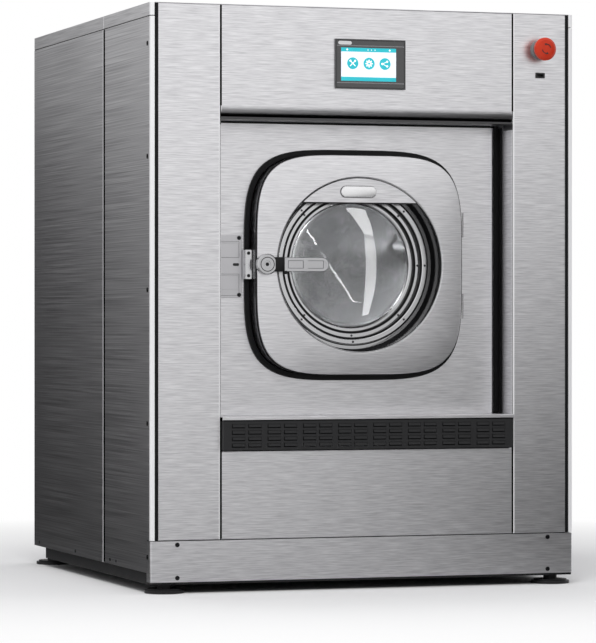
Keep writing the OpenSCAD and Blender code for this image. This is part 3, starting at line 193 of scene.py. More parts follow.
def stretched(name, material):
    """Stands a copy in for a CAD node, one end on the cabinet and the other on the tub."""
    mesh = nodes[name].data.copy()
    mesh.attributes.remove(mesh.attributes["custom_normal"])
    finished(mesh, material)
    made = placed(name + "_stretched", mesh)
    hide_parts(name)
    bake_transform(made)


stretched("suspension_springs", spring_coat)


def ground(name, colour, roughness):
    """Bright steel with the faint rings that turning and grinding leave."""
    material, shader, place = new_material(name, Metallic=1.0)
    fine = place.noise(700.0, 2.0)
    cloud = place.noise(25.0, 3.0)
    feed(
        shader,
        Base_Color=cloud.blended([0.88 * c for c in colour], colour),
        Roughness=roughness + 0.12 * (fine - 0.5) + 0.08 * (cloud - 0.5),
        Normal=fine.bump(0.12, 0.0001),
    )
    return material


bright_steel = ground("bright_steel", (0.60, 0.60, 0.61), 0.26)
dress(bright_steel, "damper_rods", "hinge_pins", "hinge_brackets", "hinge_leaves", "latch_bolt",
      "drum_spider", "drum_bearings")

# Tub: stainless sheet rolled and welded, with a mouth ring at the front and a ribbed back that
# carries the bearing housing. The sheet keeps its smooth mill finish.
mill_finish, shader, place = new_material("mill_finish", Metallic=1.0)
x, y, z = place.parts()
rolled = (x * 4.0).joined(y * 60.0, z * 4.0).noise(5.0, 3.0)
cloud = place.noise(9.0, 4.0)
feed(
    shader,
    Base_Color=(0.5 * rolled + 0.5 * cloud).blended((0.46, 0.46, 0.47), (0.62, 0.62, 0.63)),
    Roughness=0.3 + 0.16 * (cloud - 0.5) + 0.1 * (rolled - 0.5),
    Normal=rolled.bump(0.08, 0.0003),
)
dress(mill_finish, "tub_shell", "tub_front", "tub_back")

# Bearing housing and pulleys: grey iron castings, sand-rough where they aren't machined. Three
# vee belts run between the pulleys, and the motor's case is painted, with cooling ribs.
cast_iron = coated("cast_iron", (0.09, 0.09, 0.095), 0.5, 350.0, 0.0005, metallic=0.7)
dress(cast_iron, "bearing_housing", "drum_pulley", "motor_pulley")
motor_paint = coated("motor_paint", (0.03, 0.05, 0.085), 0.38, 800.0, 0.0001)
dress(motor_paint, "motor")
rubber = coated("rubber", (0.005, 0.005, 0.0055), 0.5, 900.0, 0.0002, shine=0.2)
dress(rubber, "drive_belts", "glass_seal", "panel_seals")
stretched("drain_bellows", rubber)
stretched("door_boot", rubber)

# Drum: stainless sheet, pierced all round with small holes for the water, with three hollow
# lifters that are pressed and welded on. It is brushed and then rubbed bright by the laundry.
axis = Vector((-0.0025, 0.0, 0.867))
hole_pitch = 0.016
hole_share = 0.24
wall_r, wall_starts_r = 0.45, 0.447
rows_front, rows_rear = -0.375, 0.135
drum_steel, shader, place = new_material("drum_steel", Metallic=1.0)
x, y, z = place.parts()
across = x - axis.x
up = z - axis.z
reach = (across * across + up * up).maths("SQRT")
round_wall = across.maths("ARCTAN2", up) * (wall_r / hole_pitch)
along_wall = y * (1.0 / hole_pitch)
row = along_wall.maths("FLOOR")
shift = row.maths("MODULO", 2.0) * 0.5
cell_x = (round_wall + shift).maths("FRACT") - 0.5
cell_y = along_wall.maths("FRACT") - 0.5
from_middle = (cell_x * cell_x + cell_y * cell_y).maths("SQRT")
hole = from_middle.maths("LESS_THAN", hole_share) * reach.maths("GREATER_THAN", wall_starts_r)
hole = hole * y.maths("LESS_THAN", rows_rear) * y.maths("GREATER_THAN", rows_front)
cloud = place.noise(6.0, 4.0)
grain = (across * 30.0).joined(y * 2.0, up * 30.0).noise(30.0, 3.0)
bare = (0.6 * cloud + 0.4 * grain).blended((0.55, 0.55, 0.56), (0.78, 0.78, 0.79))
feed(
    shader,
    Base_Color=hole.blended(bare, (0.015, 0.015, 0.016)),
    Roughness=0.26 + 0.12 * (cloud - 0.5) + 0.1 * (grain - 0.5) + 0.3 * hole,
    Normal=(1.0 - hole).bump(0.25, 0.0006),
)
dress(drum_steel, "drum_shell")


def brushed(name, dark, light, roughness, sag=None, bright=None, shade=None, length=1.0):
    """Stainless sheet brushed level: fine wavy streaks over hairlines, on upright and flat faces.

    A sag gives how far a pressed face falls away, in metres. The places that bright picks out get
    a painted highlight, nearly white and less metallic, and those that shade picks out get painted
    shade, nearly black. A greater length draws the streaks out.
    """
    material, shader, place = new_material(name, Metallic=1.0)
    x, y, z = place.parts()
    facing = place.node("NewGeometry", output="Normal").parts()
    flat = facing[2].maths("ABSOLUTE").maths("GREATER_THAN", 0.6)
    along = (x + y * (1.0 - flat)) * (1.0 / length)
    over = z * (1.0 - flat) + y * flat
    sway = (along * 12.0).joined(0.0, over * 60.0).noise(1.0, 2.0)
    over = over + 0.005 / length * (sway - 0.5)
    streak = (along * 16.0).joined(0.0, over * 340.0).noise(1.0, 2.0, 0.55)
    broad = (along * 9.0).joined(0.0, over * 75.0).noise(1.0, 2.0, 0.5)
    hair = (along * 40.0).joined(0.0, over * 900.0).noise(1.0, 2.0, 0.6)
    tone = 2.4 * (streak - 0.5) + 0.4 * (broad - 0.5) + 0.8 * (hair - 0.5) + 0.5
    colour = tone.clamped().blended(dark, light)
    rough = roughness + 0.08 * (streak - 0.5) + 0.08 * (hair - 0.5)
    relief = 0.6 * streak + 0.4 * hair
    if sag:
        normal = (relief * 0.00007 - sag(x, y, z)).bump(1.0, 1.0)
    else:
        normal = relief.bump(0.26, 0.0003)
    # Painted highlight where bright picks out: nearly white and less metallic.
    if bright:
        lip = bright(x, y, z)
        colour = lip.blended(colour, (0.90, 0.90, 0.91))
        feed(shader, Metallic=1.0 - 0.8 * lip)
    # Painted shade where shade picks out: nearly black.
    if shade:
        colour = shade(x, y, z).blended(colour, (0.012, 0.012, 0.013))
    feed(shader, Base_Color=colour, Roughness=rough, Normal=normal)
    return material


lifter_steel = brushed("lifter_steel", (0.60, 0.60, 0.61), (0.78, 0.78, 0.79), 0.24)
dress(lifter_steel, "lifters")

# Cabinet: stainless sheet, brushed level, folded at every edge and hung on the frame with seams
# between the panels. The folds have a small round, which catches the light as a thin line.
sheet_look = ((0.61, 0.605, 0.625), (0.88, 0.875, 0.895), 0.34)
recess_mid_x, columns_start = 0.0085, 0.4201
roll_starts, shade_starts, shade_height = 1.2870, 1.2790, 0.0190
panel_steel = brushed("panel_steel", *sheet_look)
# The inner edges of the column panels, beside the seams, get a painted highlight, nearly white.
column_steel_painted_highlight = brushed(
    "column_steel_painted_highlight", *sheet_look,
    bright=lambda x, y, z: (
        x - recess_mid_x).maths("ABSOLUTE").maths("LESS_THAN", columns_start))


def rolled_edge(x, y, z):
    """The sheet over the recess starts to roll under above its CAD nose."""
    roll = (roll_starts - z).maths("MAXIMUM", 0.0)
    return 13.0 * roll * roll


def painted_under_roll_shade(x, y, z):
    """Painted shade that darkens towards the line where the sheet turns under."""
    return 0.92 * ((shade_starts - z) * (1 / shade_height)).clamped()


# The sheet over the recess gets painted shade along its rolled lower edge.
nose_steel_painted_shade = brushed("nose_steel_painted_shade", *sheet_look, sag=rolled_edge, shade=painted_under_roll_shade)


def softened(name, width, body, material, fold=0.0):
    """Stands a copy of a CAD node with its sharp edges rounded in for the node.

    The edges round its front face can get a wider fold.
    """
    sharp = math.radians(40)
    bm = bmesh.new()
    bm.from_mesh(nodes[name].data)
    bmesh.ops.remove_doubles(bm, verts=bm.verts, dist=1e-6)
    bmesh.ops.dissolve_limit(
        bm, angle_limit=math.radians(0.5), verts=bm.verts, edges=bm.edges)
    if fold:
        front = min(vert.co.y for vert in bm.verts)
        folded = [edge for edge in bm.edges
                  if all(abs(vert.co.y - front) < 1e-5 for vert in edge.verts)
                  and edge.calc_length() > 0.004 and edge.calc_face_angle(0.0) > 0.7]
        bmesh.ops.bevel(bm, geom=folded, offset=fold, offset_type="OFFSET", segments=4,
                        profile=0.5, affect="EDGES", material=-1)
    mesh = bpy.data.meshes.new(name + "_folded")
    bm.to_mesh(mesh)
    bm.free()
    if "custom_normal" in mesh.attributes:
        mesh.attributes.remove(mesh.attributes["custom_normal"])
    made = placed(name + "_folded", mesh)
    mesh.materials.append(material)
    mesh.set_sharp_from_angle(angle=sharp)
    widest = max(face.area for face in mesh.polygons)
    for face in mesh.polygons:
        face.use_smooth = face.area < 0.02 * widest
    rounding = made.modifiers.new("rounding", "BEVEL")
    rounding.width = width
    rounding.segments = 3
    rounding.limit_method = "ANGLE"
    rounding.angle_limit = sharp
    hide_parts(name)
    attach(made, body)


for name, steel in (("skirt_panel", panel_steel), ("column_panels", column_steel_painted_highlight),
                    ("lower_front_panel", panel_steel), ("upper_front_panel", nose_steel_painted_shade)):
    softened(name, 0.0007, "cabinet", steel, fold=0.0022)
# The front part of the recess's ceiling gets painted shade, nearly black.
ceiling_z, shaded_y = 1.235, -0.552
recess_steel_painted_shade = brushed(
    "recess_steel_painted_shade", *sheet_look,
    shade=lambda x, y, z: (
        0.9 * z.maths("GREATER_THAN", ceiling_z) * y.maths("LESS_THAN", shaded_y)))
softened("recess_surround", 0.0006, "cabinet", recess_steel_painted_shade, fold=0.0016)
dress(panel_steel, "recessed_panel", "rear_panel")

# Side sheets and top covers: front and rear sheets with a seam between them. Each front edge is
# folded over as a lip beside the corner strip. The lips, and a band behind each side seam, get a
# painted highlight, nearly white.
joint_y = -0.155
corner_x, corner_y = 0.5875, -0.6045
lip_middle, lip_half, lip_top = 0.0052, 0.0042, 1.517


def painted_lip_highlights(x, y, z):
    """Picks out the folded lips at the front corners and behind the side seams, for a painted
    highlight.
    """
    corner = (x.maths("ABSOLUTE").maths("GREATER_THAN", corner_x)
              * y.maths("LESS_THAN", corner_y))
    joint = (y - joint_y - lip_middle).maths("ABSOLUTE").maths("LESS_THAN", lip_half)
    return corner + joint * z.maths("LESS_THAN", lip_top)


side_steel_painted_highlight = brushed(
    "side_steel_painted_highlight", (0.50, 0.495, 0.515), (0.86, 0.855, 0.875), 0.34, length=9.0, bright=painted_lip_highlights)
dress(side_steel_painted_highlight, "side_panels")
cover_steel_painted_highlight = brushed(
    "cover_steel_painted_highlight", (0.56, 0.555, 0.575), (0.84, 0.835, 0.855), 0.34, length=3.0, bright=painted_lip_highlights)
softened("top_covers", 0.0009, "cabinet", cover_steel_painted_highlight)


# Dark strips: a black rubber band down the rear of the recess's right wall, beside the recessed
# panel, which is partly painted shade for the deep gap there. Near-black strips down the seams of
# the sides and of the front panels are painted shade for the gaps between the sheets. Washers of
# the same black lie under the side screws.
def new_piece(name, bm, material, body):
    """Makes a mesh a piece of the machine that rides on a body."""
    bmesh.ops.recalc_face_normals(bm, faces=bm.faces)
    mesh = bpy.data.meshes.new(name)
    bm.to_mesh(mesh)
    bm.free()
    finished(mesh, material)
    made = placed(name, mesh)
    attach(made, body)


def bar(bm, low, high, turn=None, round_edge=0.0):
    """Adds a block between two corners, turned about its own middle, with rounded edges."""
    low, high = Vector(low), Vector(high)
    size = Matrix.Diagonal((*(high - low), 1.0))
    place = Matrix.Translation((low + high) / 2) @ (turn or Matrix()) @ size
    made = bmesh.ops.create_cube(bm, size=1.0, matrix=place)
    if round_edge:
        edges = {edge for vert in made["verts"] for edge in vert.link_edges}
        bmesh.ops.bevel(bm, geom=list(edges), offset=round_edge, offset_type="OFFSET",
                        segments=2, profile=0.5, affect="EDGES", material=-1)


def coin(bm, middle, r, thick, segments, axis="X", turn=0.0):
    """Adds a round plate that faces front and rear, or with axis Y the two sides."""
    place = Matrix.Translation(middle) @ Matrix.Rotation(math.radians(90), 4, axis)
    bmesh.ops.create_cone(
        bm, cap_ends=True, radius1=r, radius2=r, depth=thick, segments=segments,
        matrix=place @ Matrix.Rotation(turn, 4, "Z"))


recess_low, recess_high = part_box("recessed_panel")
# A black rubber band on the recess's right wall, partly painted shade for the deep gap there.
channel = bmesh.new()
bar(channel, (0.4192, -0.5430, recess_low[2]), (0.4214, -0.5200, recess_high[2]))
new_piece("channel_seal", channel, rubber, "cabinet")
side_faces = (0.5985, 0.6005)
front_faces = (-0.6143, -0.6120)
front_seams = ((-0.4080, -0.4035), (0.4205, 0.4250))
lower_panel, upper_panel = (0.1420, 0.4600), (1.2850, 1.5500)
# Near-black strips over the seams: painted shade for the gaps between the sheets.
seams = bmesh.new()
for side in (-1, 1):
    near, far = sorted(side * face for face in side_faces)
    bar(seams, (near, joint_y - 0.0140, 0.0560), (far, joint_y - 0.0004, 1.5150))
for start, end in front_seams:
    for low, high in (lower_panel, upper_panel):
        bar(seams, (start, front_faces[0], low), (end, front_faces[1], high))
seam_black = coated("seam_black", (0.001, 0.001, 0.0011), 0.85, 900.0, 0.0001, shine=0.0)
new_piece("seam_shade_strips", seams, seam_black, "cabinet")
washer_x, washer_y, washer_r = 0.6002, -0.587, 0.0064
washers = bmesh.new()
for side in (-1, 1):
    for height in (0.096, 0.447, 0.798, 1.149, 1.446):
        coin(washers, (side * washer_x, washer_y, height), washer_r, 0.0012, 24, axis="Y")
new_piece("screw_washers", washers, seam_black, "cabinet")

# Screws of the cabinet: blackened steel with a hexagon socket, sunk in the skirt, the sides, the
# lock cover and the strike.
black_screw = ground("black_screw", (0.03, 0.03, 0.032), 0.4)
dress(black_screw, "cabinet_screws")

# Vent strip: one black plastic moulding in front of the fan, with louvre slots in pairs. Each
# slot has a sloping blade inside, which sheds drips to the outside.
vent_plastic = coated("vent_plastic", (0.018, 0.018, 0.019), 0.5, 700.0, 0.0002, shine=0.3)
dress(vent_plastic, "vent_grille")
strip_left, strip_right = -0.405, 0.416
blade_l, blade_h, blade_faces = 0.0345, 0.0085, (-0.6328, -0.6316)
slot_l, slot_gap, first_slot = 0.037, 0.0084, 0.023
row_pitch, first_row = 0.017, 0.388
columns, rows = 8, 4
vent_start = strip_left + first_slot
pair = (strip_right - first_slot - 2 * slot_l - slot_gap - vent_start) / (columns - 1)
slope = Matrix.Rotation(math.radians(-9), 4, "X")
blades = bmesh.new()
for column in range(columns):
    for side in (0, 1):
        right = vent_start + pair * column + side * (slot_l + slot_gap) + slot_l
        for level in range(rows):
            height = first_row + row_pitch * level + 0.0012
            bar(blades, (right - blade_l, blade_faces[0], height - blade_h / 2),
                (right, blade_faces[1], height + blade_h / 2), slope)
new_piece("vent_blades", blades, vent_plastic, "cabinet")

# Touch screen: a black plastic bezel pushed into the upper panel, with dark glass and a lit
# display behind it. Its page shows three round keys with general signs.
bezel_plastic = coated("bezel_plastic", (0.035, 0.035, 0.037), 0.32, 900.0, 0.0001)
dress(bezel_plastic, "screen_bezel")
dark_glass, shader, place = new_material(
    "dark_glass", Roughness=0.06, IOR=1.5, Coat_Weight=1.0, Coat_Roughness=0.03)
smear = place.noise(30.0, 3.0)
feed(shader, Base_Color=smear.blended((0.018, 0.018, 0.02), (0.03, 0.03, 0.033)))
dress(dark_glass, "screen_glass")


def lit(name, low, high, strength=0.42):
    """A part of the display: it glows, and its brightness isn't quite even."""
    material, shader, place = new_material(
        name, Roughness=0.3, Emission_Strength=strength, IOR=1.3)
    glow = place.noise(24.0, 2.0)
    colour = glow.blended(low, high)
    feed(shader, Base_Color=colour, Emission_Color=colour)
    return material


page_white = lit("page_white", (0.74, 0.79, 0.88), (0.84, 0.87, 0.93))
page_teal = lit("page_teal", (0.02, 0.38, 0.45), (0.05, 0.52, 0.58))
page_sign = lit("page_sign", (0.88, 0.90, 0.92), (0.93, 0.95, 0.96), 0.5)
page_x = (-0.072, 0.084)
page_z = (1.3575, 1.446)
glass_face = -0.6196
keys_x = (-0.0392, 0.0071, 0.0524)
keys_z = 1.4045
key_r = 0.0158
layer_step, film = 0.00012, 0.0001
band_h = 0.0105


def disc(bm, x, z, r, layer):
    """Adds a thin disc that faces the user, some layers in front of the glass."""
    coin(bm, (x, glass_face - layer_step * layer, z), r, film, 40)


def stroke(bm, x, z, length, width, angle, layer):
    """Adds a thin straight stroke of a sign."""
    face = glass_face - layer_step * layer
    bar(bm, (x - length / 2, face - film / 2, z - width / 2),
        (x + length / 2, face + film / 2, z + width / 2),
        Matrix.Rotation(math.radians(angle), 4, "Y"))


page = bmesh.new()
bar(page, (page_x[0], glass_face - film, page_z[0]), (page_x[1], glass_face, page_z[1]))
new_piece("display_page", page, page_white, "cabinet")
teal = bmesh.new()
for low, high in ((page_z[0], page_z[0] + band_h), (page_z[1] - band_h, page_z[1])):
    bar(teal, (page_x[0], glass_face - 0.00022, low), (page_x[1], glass_face - 0.00012, high))
for key_x in keys_x:
    disc(teal, key_x, keys_z, key_r, 2)
new_piece("display_keys", teal, page_teal, "cabinet")
signs = bmesh.new()
key_x = keys_x[0]
for angle in (45, -45):
    stroke(signs, key_x, keys_z, 0.021, 0.0024, angle, 3)
for side in (-1, 1):
    disc(signs, key_x + side * 0.0066, keys_z + 0.0066, 0.0028, 4)
key_x = keys_x[1]
disc(signs, key_x, keys_z, 0.0068, 3)
for angle in range(0, 180, 45):
    stroke(signs, key_x, keys_z, 0.0205, 0.0034, angle, 4)
key_x = keys_x[2]
dots = ((-0.0078, 0.0), (0.0062, 0.0062), (0.0062, -0.0062))
for dot_x, dot_z in dots:
    disc(signs, key_x + dot_x, keys_z + dot_z, 0.0029, 4)
for side in (-1, 1):
    stroke(signs, key_x - 0.0008, keys_z + side * 0.0031, 0.0155, 0.0018, -side * 24, 3)
for dot_r, places in ((0.0024, (-0.055, 0.066)), (0.0014, (0.004, 0.014, 0.024))):
    for dot_x in places:
        disc(signs, dot_x, page_z[1] - 0.0052, dot_r, 4)
new_piece("display_signs", signs, page_sign, "cabinet")
gear = bmesh.new()
disc(gear, keys_x[1], keys_z, 0.0030, 6)
new_piece("display_gear_eye", gear, page_teal, "cabinet")
trim_half = 0.0011
trim = bmesh.new()
for height in (1.3525, 1.4515):
    bar(trim, (-0.0838, glass_face - film, height - trim_half),
        (0.1068, glass_face, height + trim_half))
trim_grey = coated("trim_grey", (0.24, 0.24, 0.25), 0.4, 900.0, 0.0001)
new_piece("bezel_lines", trim, trim_grey, "cabinet")
plate = bmesh.new()
plate_x, plate_z, plate_r, plate_half = -0.061, 1.4587, 0.0048, 0.0142
bar(plate, (plate_x - plate_half, glass_face - 0.0003, plate_z - plate_r),
    (plate_x + plate_half, glass_face, plate_z + plate_r))
for side in (-1, 1):
    disc(plate, plate_x + side * plate_half, plate_z, plate_r, 2)
plate_white = coated("plate_white", (0.70, 0.70, 0.71), 0.35, 900.0, 0.0001)
new_piece("bezel_blank_plate", plate, plate_white, "cabinet")

# Emergency stop: a glossy red mushroom head on a stem through a grey collar. Pushing it latches
# it, and a turn the way of its two arrows lets it spring back.
stop_red, shader, place = new_material(
    "stop_red", Roughness=0.36, Specular_IOR_Level=0.25, Coat_Weight=0.12, Coat_Roughness=0.12)
cloud = place.noise(60.0, 3.0)
feed(
    shader,
    Base_Color=cloud.blended((0.50, 0.022, 0.008), (0.62, 0.050, 0.014)),
    Normal=place.noise(900.0).bump(0.05, 0.0001),
)
dress(stop_red, "stop_head")
collar_grey = coated("collar_grey", (0.16, 0.16, 0.165), 0.45, 800.0, 0.0001)
dress(collar_grey, "stop_collar", "stop_stem", "control_box", "drain_valve")
stop_at = Vector((0.504, -0.614 - 0.046, 1.454))
arrow_ink = coated("arrow_ink", (0.012, 0.012, 0.014), 0.5, 900.0, 0.0001)
arrow_r = 0.0125
dash = Vector((0.0011, 0.0003, 0.0016))


def on_arrow(angle):
    """The spot on the head's face where an arrow passes this angle."""
    return stop_at + Vector((arrow_r * math.cos(angle), 0.0004, arrow_r * math.sin(angle)))


arrows = bmesh.new()
for start in (200, 20):
    for step in range(6):
        angle = math.radians(start + 12 * step)
        where = on_arrow(angle)
        bar(arrows, where - dash, where + dash, Matrix.Rotation(-angle, 4, "Y"))
    angle = math.radians(start + 80)
    coin(arrows, on_arrow(angle), 0.0042, 0.0006, 3, turn=angle + math.radians(90))
new_piece("stop_arrows", arrows, arrow_ink, "stop_button")

# Service socket: a small black plastic port under the stop, for a data plug.
socket_plastic = coated("socket_plastic", (0.012, 0.012, 0.013), 0.45, 800.0, 0.0001)
dress(socket_plastic, "service_socket")

# Rear connections: three threaded inlets of white plastic and their valves. The hoses' nuts run
# on the threads.
valve_white = coated("valve_white", (0.66, 0.66, 0.63), 0.42, 700.0, 0.0001)
dress(valve_white, "inlet_valves")


def turned(bm, points, x, z, steps):
    """Spins a profile of (radius, depth) points about an axis that runs from front to rear."""
    verts = [bm.verts.new((x + r, depth, z)) for r, depth in points]
    edges = [bm.edges.new(two) for two in zip(verts, verts[1:])]
    bmesh.ops.spin(bm, geom=verts + edges, cent=(x, 0.0, z), axis=(0, 1, 0),
                   angle=math.radians(360), steps=steps, use_merge=True)
    bmesh.ops.remove_doubles(bm, verts=bm.verts, dist=1e-7)


inlets_z = 1.3
thread_pitch, thread_end = 0.0026, 0.657
core_r, root_r, crest_r = 0.0128, 0.0131, 0.0142
threads = bmesh.new()
for inlet_x in (0.33, 0.40, 0.47):
    profile = [(core_r, 0.622)]
    for ridge in range(13):
        start = 0.6225 + thread_pitch * ridge
        profile += [(root_r, start), (crest_r, start + 0.45 * thread_pitch),
                    (crest_r, start + 0.6 * thread_pitch)]
    profile += [(root_r, thread_end), (core_r, thread_end)]
    turned(threads, profile, inlet_x, inlets_z, 48)
new_piece("inlet_threads", threads, valve_white, "cabinet")

# Lock cover and strike: a satin plate over the door lock with two raised fields, and a polished
# angle beside it that the door's bolt runs into.
satin, shader, place = new_material("satin", Metallic=1.0)
cloud = place.noise(14.0, 3.0)
fine = place.noise(600.0, 2.0)
feed(
    shader,
    Base_Color=(0.5 * cloud + 0.5 * fine).blended((0.57, 0.565, 0.585), (0.68, 0.675, 0.695)),
    Roughness=0.42 + 0.1 * (fine - 0.5),
    Normal=fine.bump(0.1, 0.0001),
)
softened("lock_cover", 0.0005, "cabinet", satin, fold=0.0010)
cover_low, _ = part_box("lock_cover")
cover_left, cover_face = cover_low[0], cover_low[1]
keyhole = bmesh.new()
key_ends = (cover_left + 0.0383, cover_left + 0.0483)
for key_x in key_ends:
    coin(keyhole, (key_x, cover_face - 0.0002, 0.8670), 0.0037, 0.0012, 24)
bar(keyhole, (key_ends[0], cover_face - 0.0008, 0.8633),
    (key_ends[1], cover_face + 0.0004, 0.8707))
new_piece("lock_keyhole", keyhole, bezel_plastic, "cabinet")
# Dark grey lines round the two raised fields are painted shade at their edges.
shade_line_half = 0.0005
field_shade_lines = bmesh.new()
right = cover_left + 0.0520
for low, high in ((0.8856, 0.9286), (0.7840, 0.8415)):
    for edge in (low, high):
        bar(field_shade_lines, (cover_left, cover_face - 0.0001, edge - shade_line_half),
            (right, cover_face + 0.0002, edge + shade_line_half))
    bar(field_shade_lines, (right - shade_line_half, cover_face - 0.0001, low),
        (right + shade_line_half, cover_face + 0.0002, high))
field_shade_grey = coated("field_shade_grey", (0.16, 0.16, 0.165), 0.5, 800.0, 0.0001)
new_piece("lock_cover_field_shade_lines", field_shade_lines, field_shade_grey, "cabinet")
polished = ground("polished", (0.68, 0.68, 0.695), 0.17)
softened("strike_plate", 0.0006, "cabinet", polished)

# Door: a deep pressed stainless shell, rounded square in outline, with a dished porthole. Screw
# rings clamp the liner and the glass, and a thin rolled lip finishes the hole in the face. A black
# bead round the flank is painted shade for the gap round the door, and a polished latch face is
# let into its left side.
half_wide, half_high = 0.2915, 0.294


def pressed(x, y, z):
    """The door's face falls away towards its brim."""
    across = ((x - axis.x) * (1 / half_wide)).maths("ABSOLUTE").maths("POWER", 4.0)
    up = ((z - axis.z) * (1 / half_high)).maths("ABSOLUTE").maths("POWER", 4.0)
    brim = ((across + up).maths("POWER", 0.25) - 0.62).maths("MAXIMUM", 0.0)
    return 0.045 * brim * brim


door_steel = brushed(
    "door_steel", (0.62, 0.615, 0.635), (0.84, 0.835, 0.855), 0.32, sag=pressed)
softened("door_shell_panel", 0.0008, "door", door_steel, fold=0.0022)
flank_rear, inner_holes = -0.5765, 0.28
flank = bmesh.new()
flank.from_mesh(nodes["door_shell_panel"].data)
bmesh.ops.remove_doubles(flank, verts=flank.verts, dist=1e-6)
outline = {}
for vert in flank.verts:
    out = Vector((vert.co.x - axis.x, 0, vert.co.z - axis.z))
    if vert.co.y < flank_rear and out.length > inner_holes:
        direction = round(math.degrees(math.atan2(out.z, out.x)), 1)
        if direction not in outline or outline[direction].length < out.length:
            outline[direction] = out
flank.free()
# A black bead round the flank: painted shade for the gap round the door.
bead = bmesh.new()
loops = [[], [], [], []]
for direction in sorted(outline):
    out = outline[direction]
    for loop, (proud, depth) in zip(loops, (
            (-0.001, -0.5732), (0.0032, -0.5728), (0.0032, -0.5704), (-0.001, -0.5700))):
        spot = axis + out * (1 + proud / out.length)
        loop.append(bead.verts.new((spot.x, depth, spot.z)))
for one, two in zip(loops, loops[1:] + loops[:1]):
    for step in range(len(one)):
        bead.faces.new((one[step - 1], one[step], two[step], two[step - 1]))
new_piece("door_edge_shade_bead", bead, rubber, "door")
latch_left, latch_right = -0.2953, -0.2935
latch_face = bmesh.new()
for low, high in (((-0.5630, 0.828), (-0.5535, 0.906)), ((-0.5535, 0.880), (-0.5450, 0.906)),
                  ((-0.5535, 0.828), (-0.5450, 0.844))):
    bar(latch_face, (latch_left, *low), (latch_right, *high))
new_piece("latch_face", latch_face, polished, "door")
# A band of the porthole's wall between these radii gets painted shade, nearly black.
wall_near, wall_far = 0.2262, 0.2358
liner_steel_painted_shade, shader, place = new_material("liner_steel_painted_shade", Metallic=1.0)
x, y, z = place.parts()
out = ((x - axis.x) * (x - axis.x) + (z - axis.z) * (z - axis.z)).maths("SQRT")
painted_wall_shade = out.maths("GREATER_THAN", wall_near) * out.maths("LESS_THAN", wall_far)
turning = (out * 400.0).joined(y * 300.0, 0.0).noise(1.0, 2.0)
bare = turning.blended((0.46, 0.46, 0.47), (0.60, 0.60, 0.61))
feed(
    shader,
    Base_Color=painted_wall_shade.blended(bare, (0.030, 0.030, 0.032)),
    Roughness=0.13 + 0.06 * (turning - 0.5),
    Normal=turning.bump(0.1, 0.0002),
)
dress(liner_steel_painted_shade, "door_liner")
dress(polished, "door_rings")
dress(rubber, "opening_gasket")
dress(powder_coat, "latch_case")
rim_r, lip_proud, lip_reach = 0.2348, 0.0016, 0.0018
rim = bmesh.new()
lip = []
for step in range(9):
    angle = math.radians(180 * step / 8)
    lip.append((rim_r - lip_proud * math.sin(angle), -0.5775 - lip_reach * math.cos(angle)))
turned(rim, lip + [lip[0]], axis.x, axis.z, 128)
new_piece("porthole_lip", rim, polished, "door")

# Ring gaskets: black rubber in the gaps beside the two clamping rings and the glass bezel. The
# black ring round the front end of the porthole's wall is painted shade at the step there.
gaskets = bmesh.new()
for near, far, face, rear in (
        (0.2146, 0.2178, -0.5146, -0.5139), (0.1950, 0.2006, -0.5160, -0.5060),
        (0.1782, 0.1846, -0.5072, -0.5000), (0.2322, 0.2338, -0.5775, -0.5766)):
    turned(gaskets, [
        (near, rear), (near, face + 0.0003), (near + 0.0003, face), (far - 0.0003, face),
        (far, face + 0.0003), (far, rear), (near, rear)], axis.x, axis.z, 128)
new_piece("ring_gaskets_and_step_shade", gaskets, rubber, "door")

# Crown plate: a segment of brushed sheet over the top of the porthole, with a bare raised plate in
# the middle. A black strip along its lower edge and a fine dark line round the plate are painted
# shade at their steps.
softened("crown_plate", 0.0004, "door", panel_steel, fold=0.0012)
# A black strip under the crown plate and a dark line round the badge: painted shade at their
# steps.
shade_lines = bmesh.new()
crown_low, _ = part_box("crown_plate")
crown_r = 0.2330
chord = math.sqrt(crown_r ** 2 - (crown_low[2] - axis.z) ** 2)
bar(shade_lines, (axis.x - chord, -0.5780, crown_low[2] - 0.0034),
    (axis.x + chord, -0.5740, crown_low[2]))
pill_x, pill_z, pill_r, pill_half = -0.0075, 1.063, 0.015, 0.0355
badge_front = -0.5824


def pill_line(bm, x, z, r, half, width, face):
    """Adds a thin raised line round a field with round ends."""
    arcs = []
    for side, start in ((1, 90), (-1, 270)):
        for step in range(13):
            angle = math.radians(start - 15 * step)
            arcs.append((side * half, math.cos(angle), math.sin(angle)))
    loops = []
    for grow, depth in ((0.0, face + 0.0006), (0.0, face), (width, face), (width, face + 0.0006)):
        loops.append([bm.verts.new((x + shift + (r + grow) * across, depth, z + (r + grow) * up))
                      for shift, across, up in arcs])
    for one, two in zip(loops, loops[1:]):
        for step in range(len(one)):
            bm.faces.new((one[step - 1], one[step], two[step], two[step - 1]))


pill_line(shade_lines, pill_x, pill_z, pill_r, pill_half, 0.0013, -0.5776)
badge = bmesh.new()
bmesh.ops.create_circle(badge, cap_ends=True, radius=pill_r - 0.0006, segments=48)
for vert in badge.verts:
    vert.co = Vector((pill_x + vert.co.x + math.copysign(pill_half, vert.co.x), badge_front,
                      pill_z + vert.co.y))
raised = bmesh.ops.extrude_face_region(badge, geom=badge.faces[:])
raised_verts = [part for part in raised["geom"] if isinstance(part, bmesh.types.BMVert)]
bmesh.ops.translate(badge, vec=(0, 0.0035, 0), verts=raised_verts)
front_edges = [edge for edge in badge.edges if all(vert.co.y < -0.5820 for vert in edge.verts)]
bmesh.ops.bevel(badge, geom=front_edges, offset=0.0016, offset_type="OFFSET", segments=3,
                profile=0.5, affect="EDGES", material=-1)
badge_steel = ground("badge_steel", (0.90, 0.90, 0.91), 0.22)
new_piece("badge_plate", badge, badge_steel, "door")
new_piece("crown_shade_lines", shade_lines, rubber, "door")

